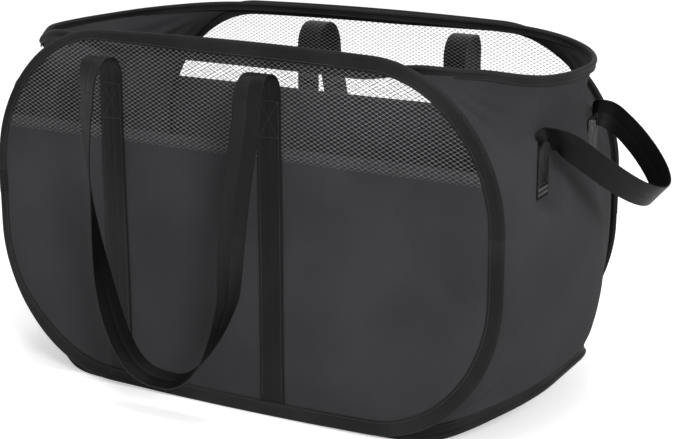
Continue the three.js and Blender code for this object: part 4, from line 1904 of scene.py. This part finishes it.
    def tacks(self) -> None:
        """Sews both tails down: a box of stitches, a bar tack at the foot, and the cut end's loose yarns."""
        rows, tacks = [], []
        outward = np.array([self.side, 0.0, 0.0])
        x = self.side * (self.grip_face + STRAP.thickness / 2 - self.thread_sink)
        box, tack, fringe = self.box_half_width, self.tack_half_width, self.fringe_half_width
        low, high = self.stitch_foot + self.box_levels[0], self.stitch_top - self.box_levels[1]
        yarn = Thread(radius=self.fringe_radius, sides=5)
        for middle in (-self.grip_span / 2, self.grip_span / 2):
            corners = np.array([[x, middle - box, low], [x, middle + box, low], [x, middle + box, high],
                                [x, middle - box, high]])
            for start, end in ((0, 1), (1, 2), (2, 3), (3, 0), (0, 2), (1, 3)):
                rows.append(STITCH.row(np.linspace(corners[start], corners[end], 12), outward))
            for level in self.tack_levels:
                ends = np.array([[x, middle + side * tack, self.stitch_foot + level] for side in (-1, 1)])
                high_way = np.array([0.0, 0.0, self.tack_half_height])
                tacks.append(TACK.zigzag(*ends, high_way, outward, self.tack_turns))
            draw = np.random.default_rng(self.fringe_seed)
            for place in np.linspace(-fringe, fringe, self.fringe_yarns):
                end = np.array([draw.uniform(-0.3, 0.9), draw.uniform(-1.2, 1.2), -draw.uniform(1.0, 3.2)])
                start = np.array([self.side * self.grip_face, middle + place, self.stitch_foot + 1])
                share = np.linspace(0, 1, 4)[:, None]
                path = start + end * [self.side, 1, 1] * share ** 1.5 + [0, 0, -1] * share
                tacks.append(yarn.tube(path, outward, False))
        made(joined(rows), f"{self.name}_tail_stitches", THREAD, self.seat)
        made(joined(tacks), f"{self.name}_tail_tacks", TACK_THREAD, self.seat)

    def dress(self, rests_on: bpy.types.Object) -> None:
        """Builds every piece of this end.

        Args:
            rests_on: The tape that the cloth hangs from.
        """
        self.cloth(rests_on)
        self.handle()
        self.tacks()


# The studio


@dataclass
class Studio:
    """A plain white studio with soft light."""

    floor_size: float = 14.0
    floor_gap: float = 0.0004
    floor_tone: float = 0.86
    sky: float = 0.55
    floor_glow: float = 0.40
    lit_point: tuple[float, float, float] = (0.0, 0.0, 0.2)
    azimuth: float = 28.38
    elevation: float = 15.87
    distance: float = 1.9008
    target: tuple[float, float, float] = (0.0425, 0.0, 0.1807)
    lens: float = 89.32
    shift: tuple[float, float] = (-0.0034, -0.0028)

    def seen(self, nodes: Nodes) -> bpy.types.NodeSocket:
        """Whether a ray shows the background to the camera, straight or through gloss or glass.

        Args:
            nodes: The tree that asks.

        Returns:
            One where it does.
        """
        path = nodes.add("LightPath")
        through = nodes.math("MAXIMUM", path.outputs["Is Glossy Ray"], path.outputs["Is Transmission Ray"])
        return nodes.math("MAXIMUM", path.outputs["Is Camera Ray"], through)

    def surroundings(self) -> None:
        """Builds the world, white to the camera and plain soft light to everything else."""
        world = bpy.data.worlds.new("studio")
        nodes = fresh_nodes(world)
        strength = nodes.math("MULTIPLY_ADD", self.seen(nodes), 1.0 - self.sky, self.sky)
        light = nodes.add("Background", Color=(1.0, 1.0, 1.0, 1.0), Strength=strength)
        out = nodes.add("OutputWorld")
        nodes.feed(out, "Surface", light.outputs[0])
        bpy.context.scene.world = world

    def floor(self) -> None:
        """Builds the pale floor."""
        bm = bmesh.new()
        bmesh.ops.create_grid(bm, x_segments=1, y_segments=1, size=self.floor_size / 2)
        mesh = bpy.data.meshes.new("floor")
        bm.to_mesh(mesh)
        bm.free()
        floor = bpy.data.objects.new("floor", mesh)
        floor.location.z = -self.floor_gap
        bpy.context.scene.collection.objects.link(floor)
        material = bpy.data.materials.new("floor_paint")
        nodes = fresh_nodes(material)
        tone = self.floor_tone
        paint = nodes.add("BsdfDiffuse", Color=(tone, tone, tone, 1.0))
        glow = nodes.add("Emission", Strength=nodes.math("MULTIPLY", self.seen(nodes), self.floor_glow))
        both = nodes.add("AddShader")
        nodes.feed(both, 0, paint.outputs[0])
        nodes.feed(both, 1, glow.outputs[0])
        out = nodes.add("OutputMaterial")
        nodes.feed(out, "Surface", both.outputs[0])
        mesh.materials.append(material)

    def lamp(self, name: str, place: Vector, size: tuple[float, float], power: float) -> None:
        """Adds a soft lamp aimed at the hamper.

        Args:
            name: Its name.
            place: Where it stands.
            size: Its width and height.
            power: Its power in watts.
        """
        light = bpy.data.lights.new(name, "AREA")
        light.shape = "RECTANGLE"
        light.size, light.size_y = size
        light.energy = power
        lamp = bpy.data.objects.new(name, light)
        lamp.location = place
        lamp.rotation_euler = (Vector(self.lit_point) - place).to_track_quat("-Z", "Y").to_euler()
        bpy.context.scene.collection.objects.link(lamp)

    def camera(self) -> None:
        """Sets the camera at the photo's angle."""
        azimuth, elevation = math.radians(self.azimuth), math.radians(self.elevation)
        level = math.cos(elevation)
        back = Vector((math.sin(azimuth) * level, -math.cos(azimuth) * level, math.sin(elevation)))
        data = bpy.data.cameras.new("camera")
        data.lens = self.lens
        data.shift_x, data.shift_y = self.shift
        camera = bpy.data.objects.new("camera", data)
        camera.location = Vector(self.target) + back * self.distance
        camera.rotation_euler = back.to_track_quat("Z", "Y").to_euler()
        bpy.context.scene.collection.objects.link(camera)
        bpy.context.scene.camera = camera

    def dress(self) -> None:
        """Builds the studio."""
        self.surroundings()
        self.floor()
        self.lamp("key", Vector((2.3, -2.1, 1.8)), (1.0, 0.8), 80.0)
        self.lamp("fill", Vector((-2.0, -2.4, 1.2)), (2.0, 2.0), 10.0)
        self.lamp("top", Vector((0.2, -0.2, 2.8)), (1.2, 1.0), 40.0)
        self.camera()
        bpy.context.scene.view_settings.view_transform = "Standard"


# The whole hamper


def main() -> None:
    """Builds the hamper's pieces in order and reports each."""
    logging.basicConfig(level=logging.INFO, format="%(message)s")
    front_offset, back_offset, half_span = -51.0, 5.0, Face.handle_span / 2
    loops = {
        Lie.FRONT: WireLoop(
            Lie.FRONT, PANEL, Body.FRONT, strap_places=(front_offset - half_span, front_offset + half_span),
            cloth_start=200.0, cloth_side=1, lap_place=(-310.0, 30.0), narrowing=0.5, narrow_side=-1,
        ),
        Lie.BACK: WireLoop(
            Lie.BACK, PANEL, Body.BACK, strap_places=(back_offset - half_span, back_offset + half_span),
            cloth_start=200.0, cloth_side=-1, lap_place=(310.0, -20.0), narrowing=0.4, narrow_side=1,
            top_drop=12.0,
        ),
        Lie.BASE: WireLoop(Lie.BASE, BASE, Body.BASE, cloth_start=216.0, cloth_side=1, tilt=76.0),
        Lie.RIM: WireLoop(Lie.RIM, RIM, Body.RIM, narrowing=0.45),
    }
    BaseCloth(loops[Lie.BASE]).dress(loops[Lie.BASE].dress())
    rim = loops[Lie.RIM].dress()
    Face(-1, loops[Lie.FRONT], Body.FRONT_HANDLE, front_offset, loop_length=297.0).dress()
    Face(
        1, loops[Lie.BACK], Body.BACK_HANDLE, back_offset, hole_half_width=3.3, hole_half_height=1.91,
        hole_power=1.15, net_foot=284.0, lap=7.0, seam_rise=3.5, arch_reach=27.0, stitch_top=340.0,
    ).dress()
    SoftEnd(-1, loops, Body.LEFT_SEAT, Body.LEFT_GRIP, grip_reach=66.0).dress(rim)
    SoftEnd(1, loops, Body.RIGHT_SEAT, Body.RIGHT_GRIP).dress(rim)
    Studio().dress()


if __name__ == "__main__":
    main()
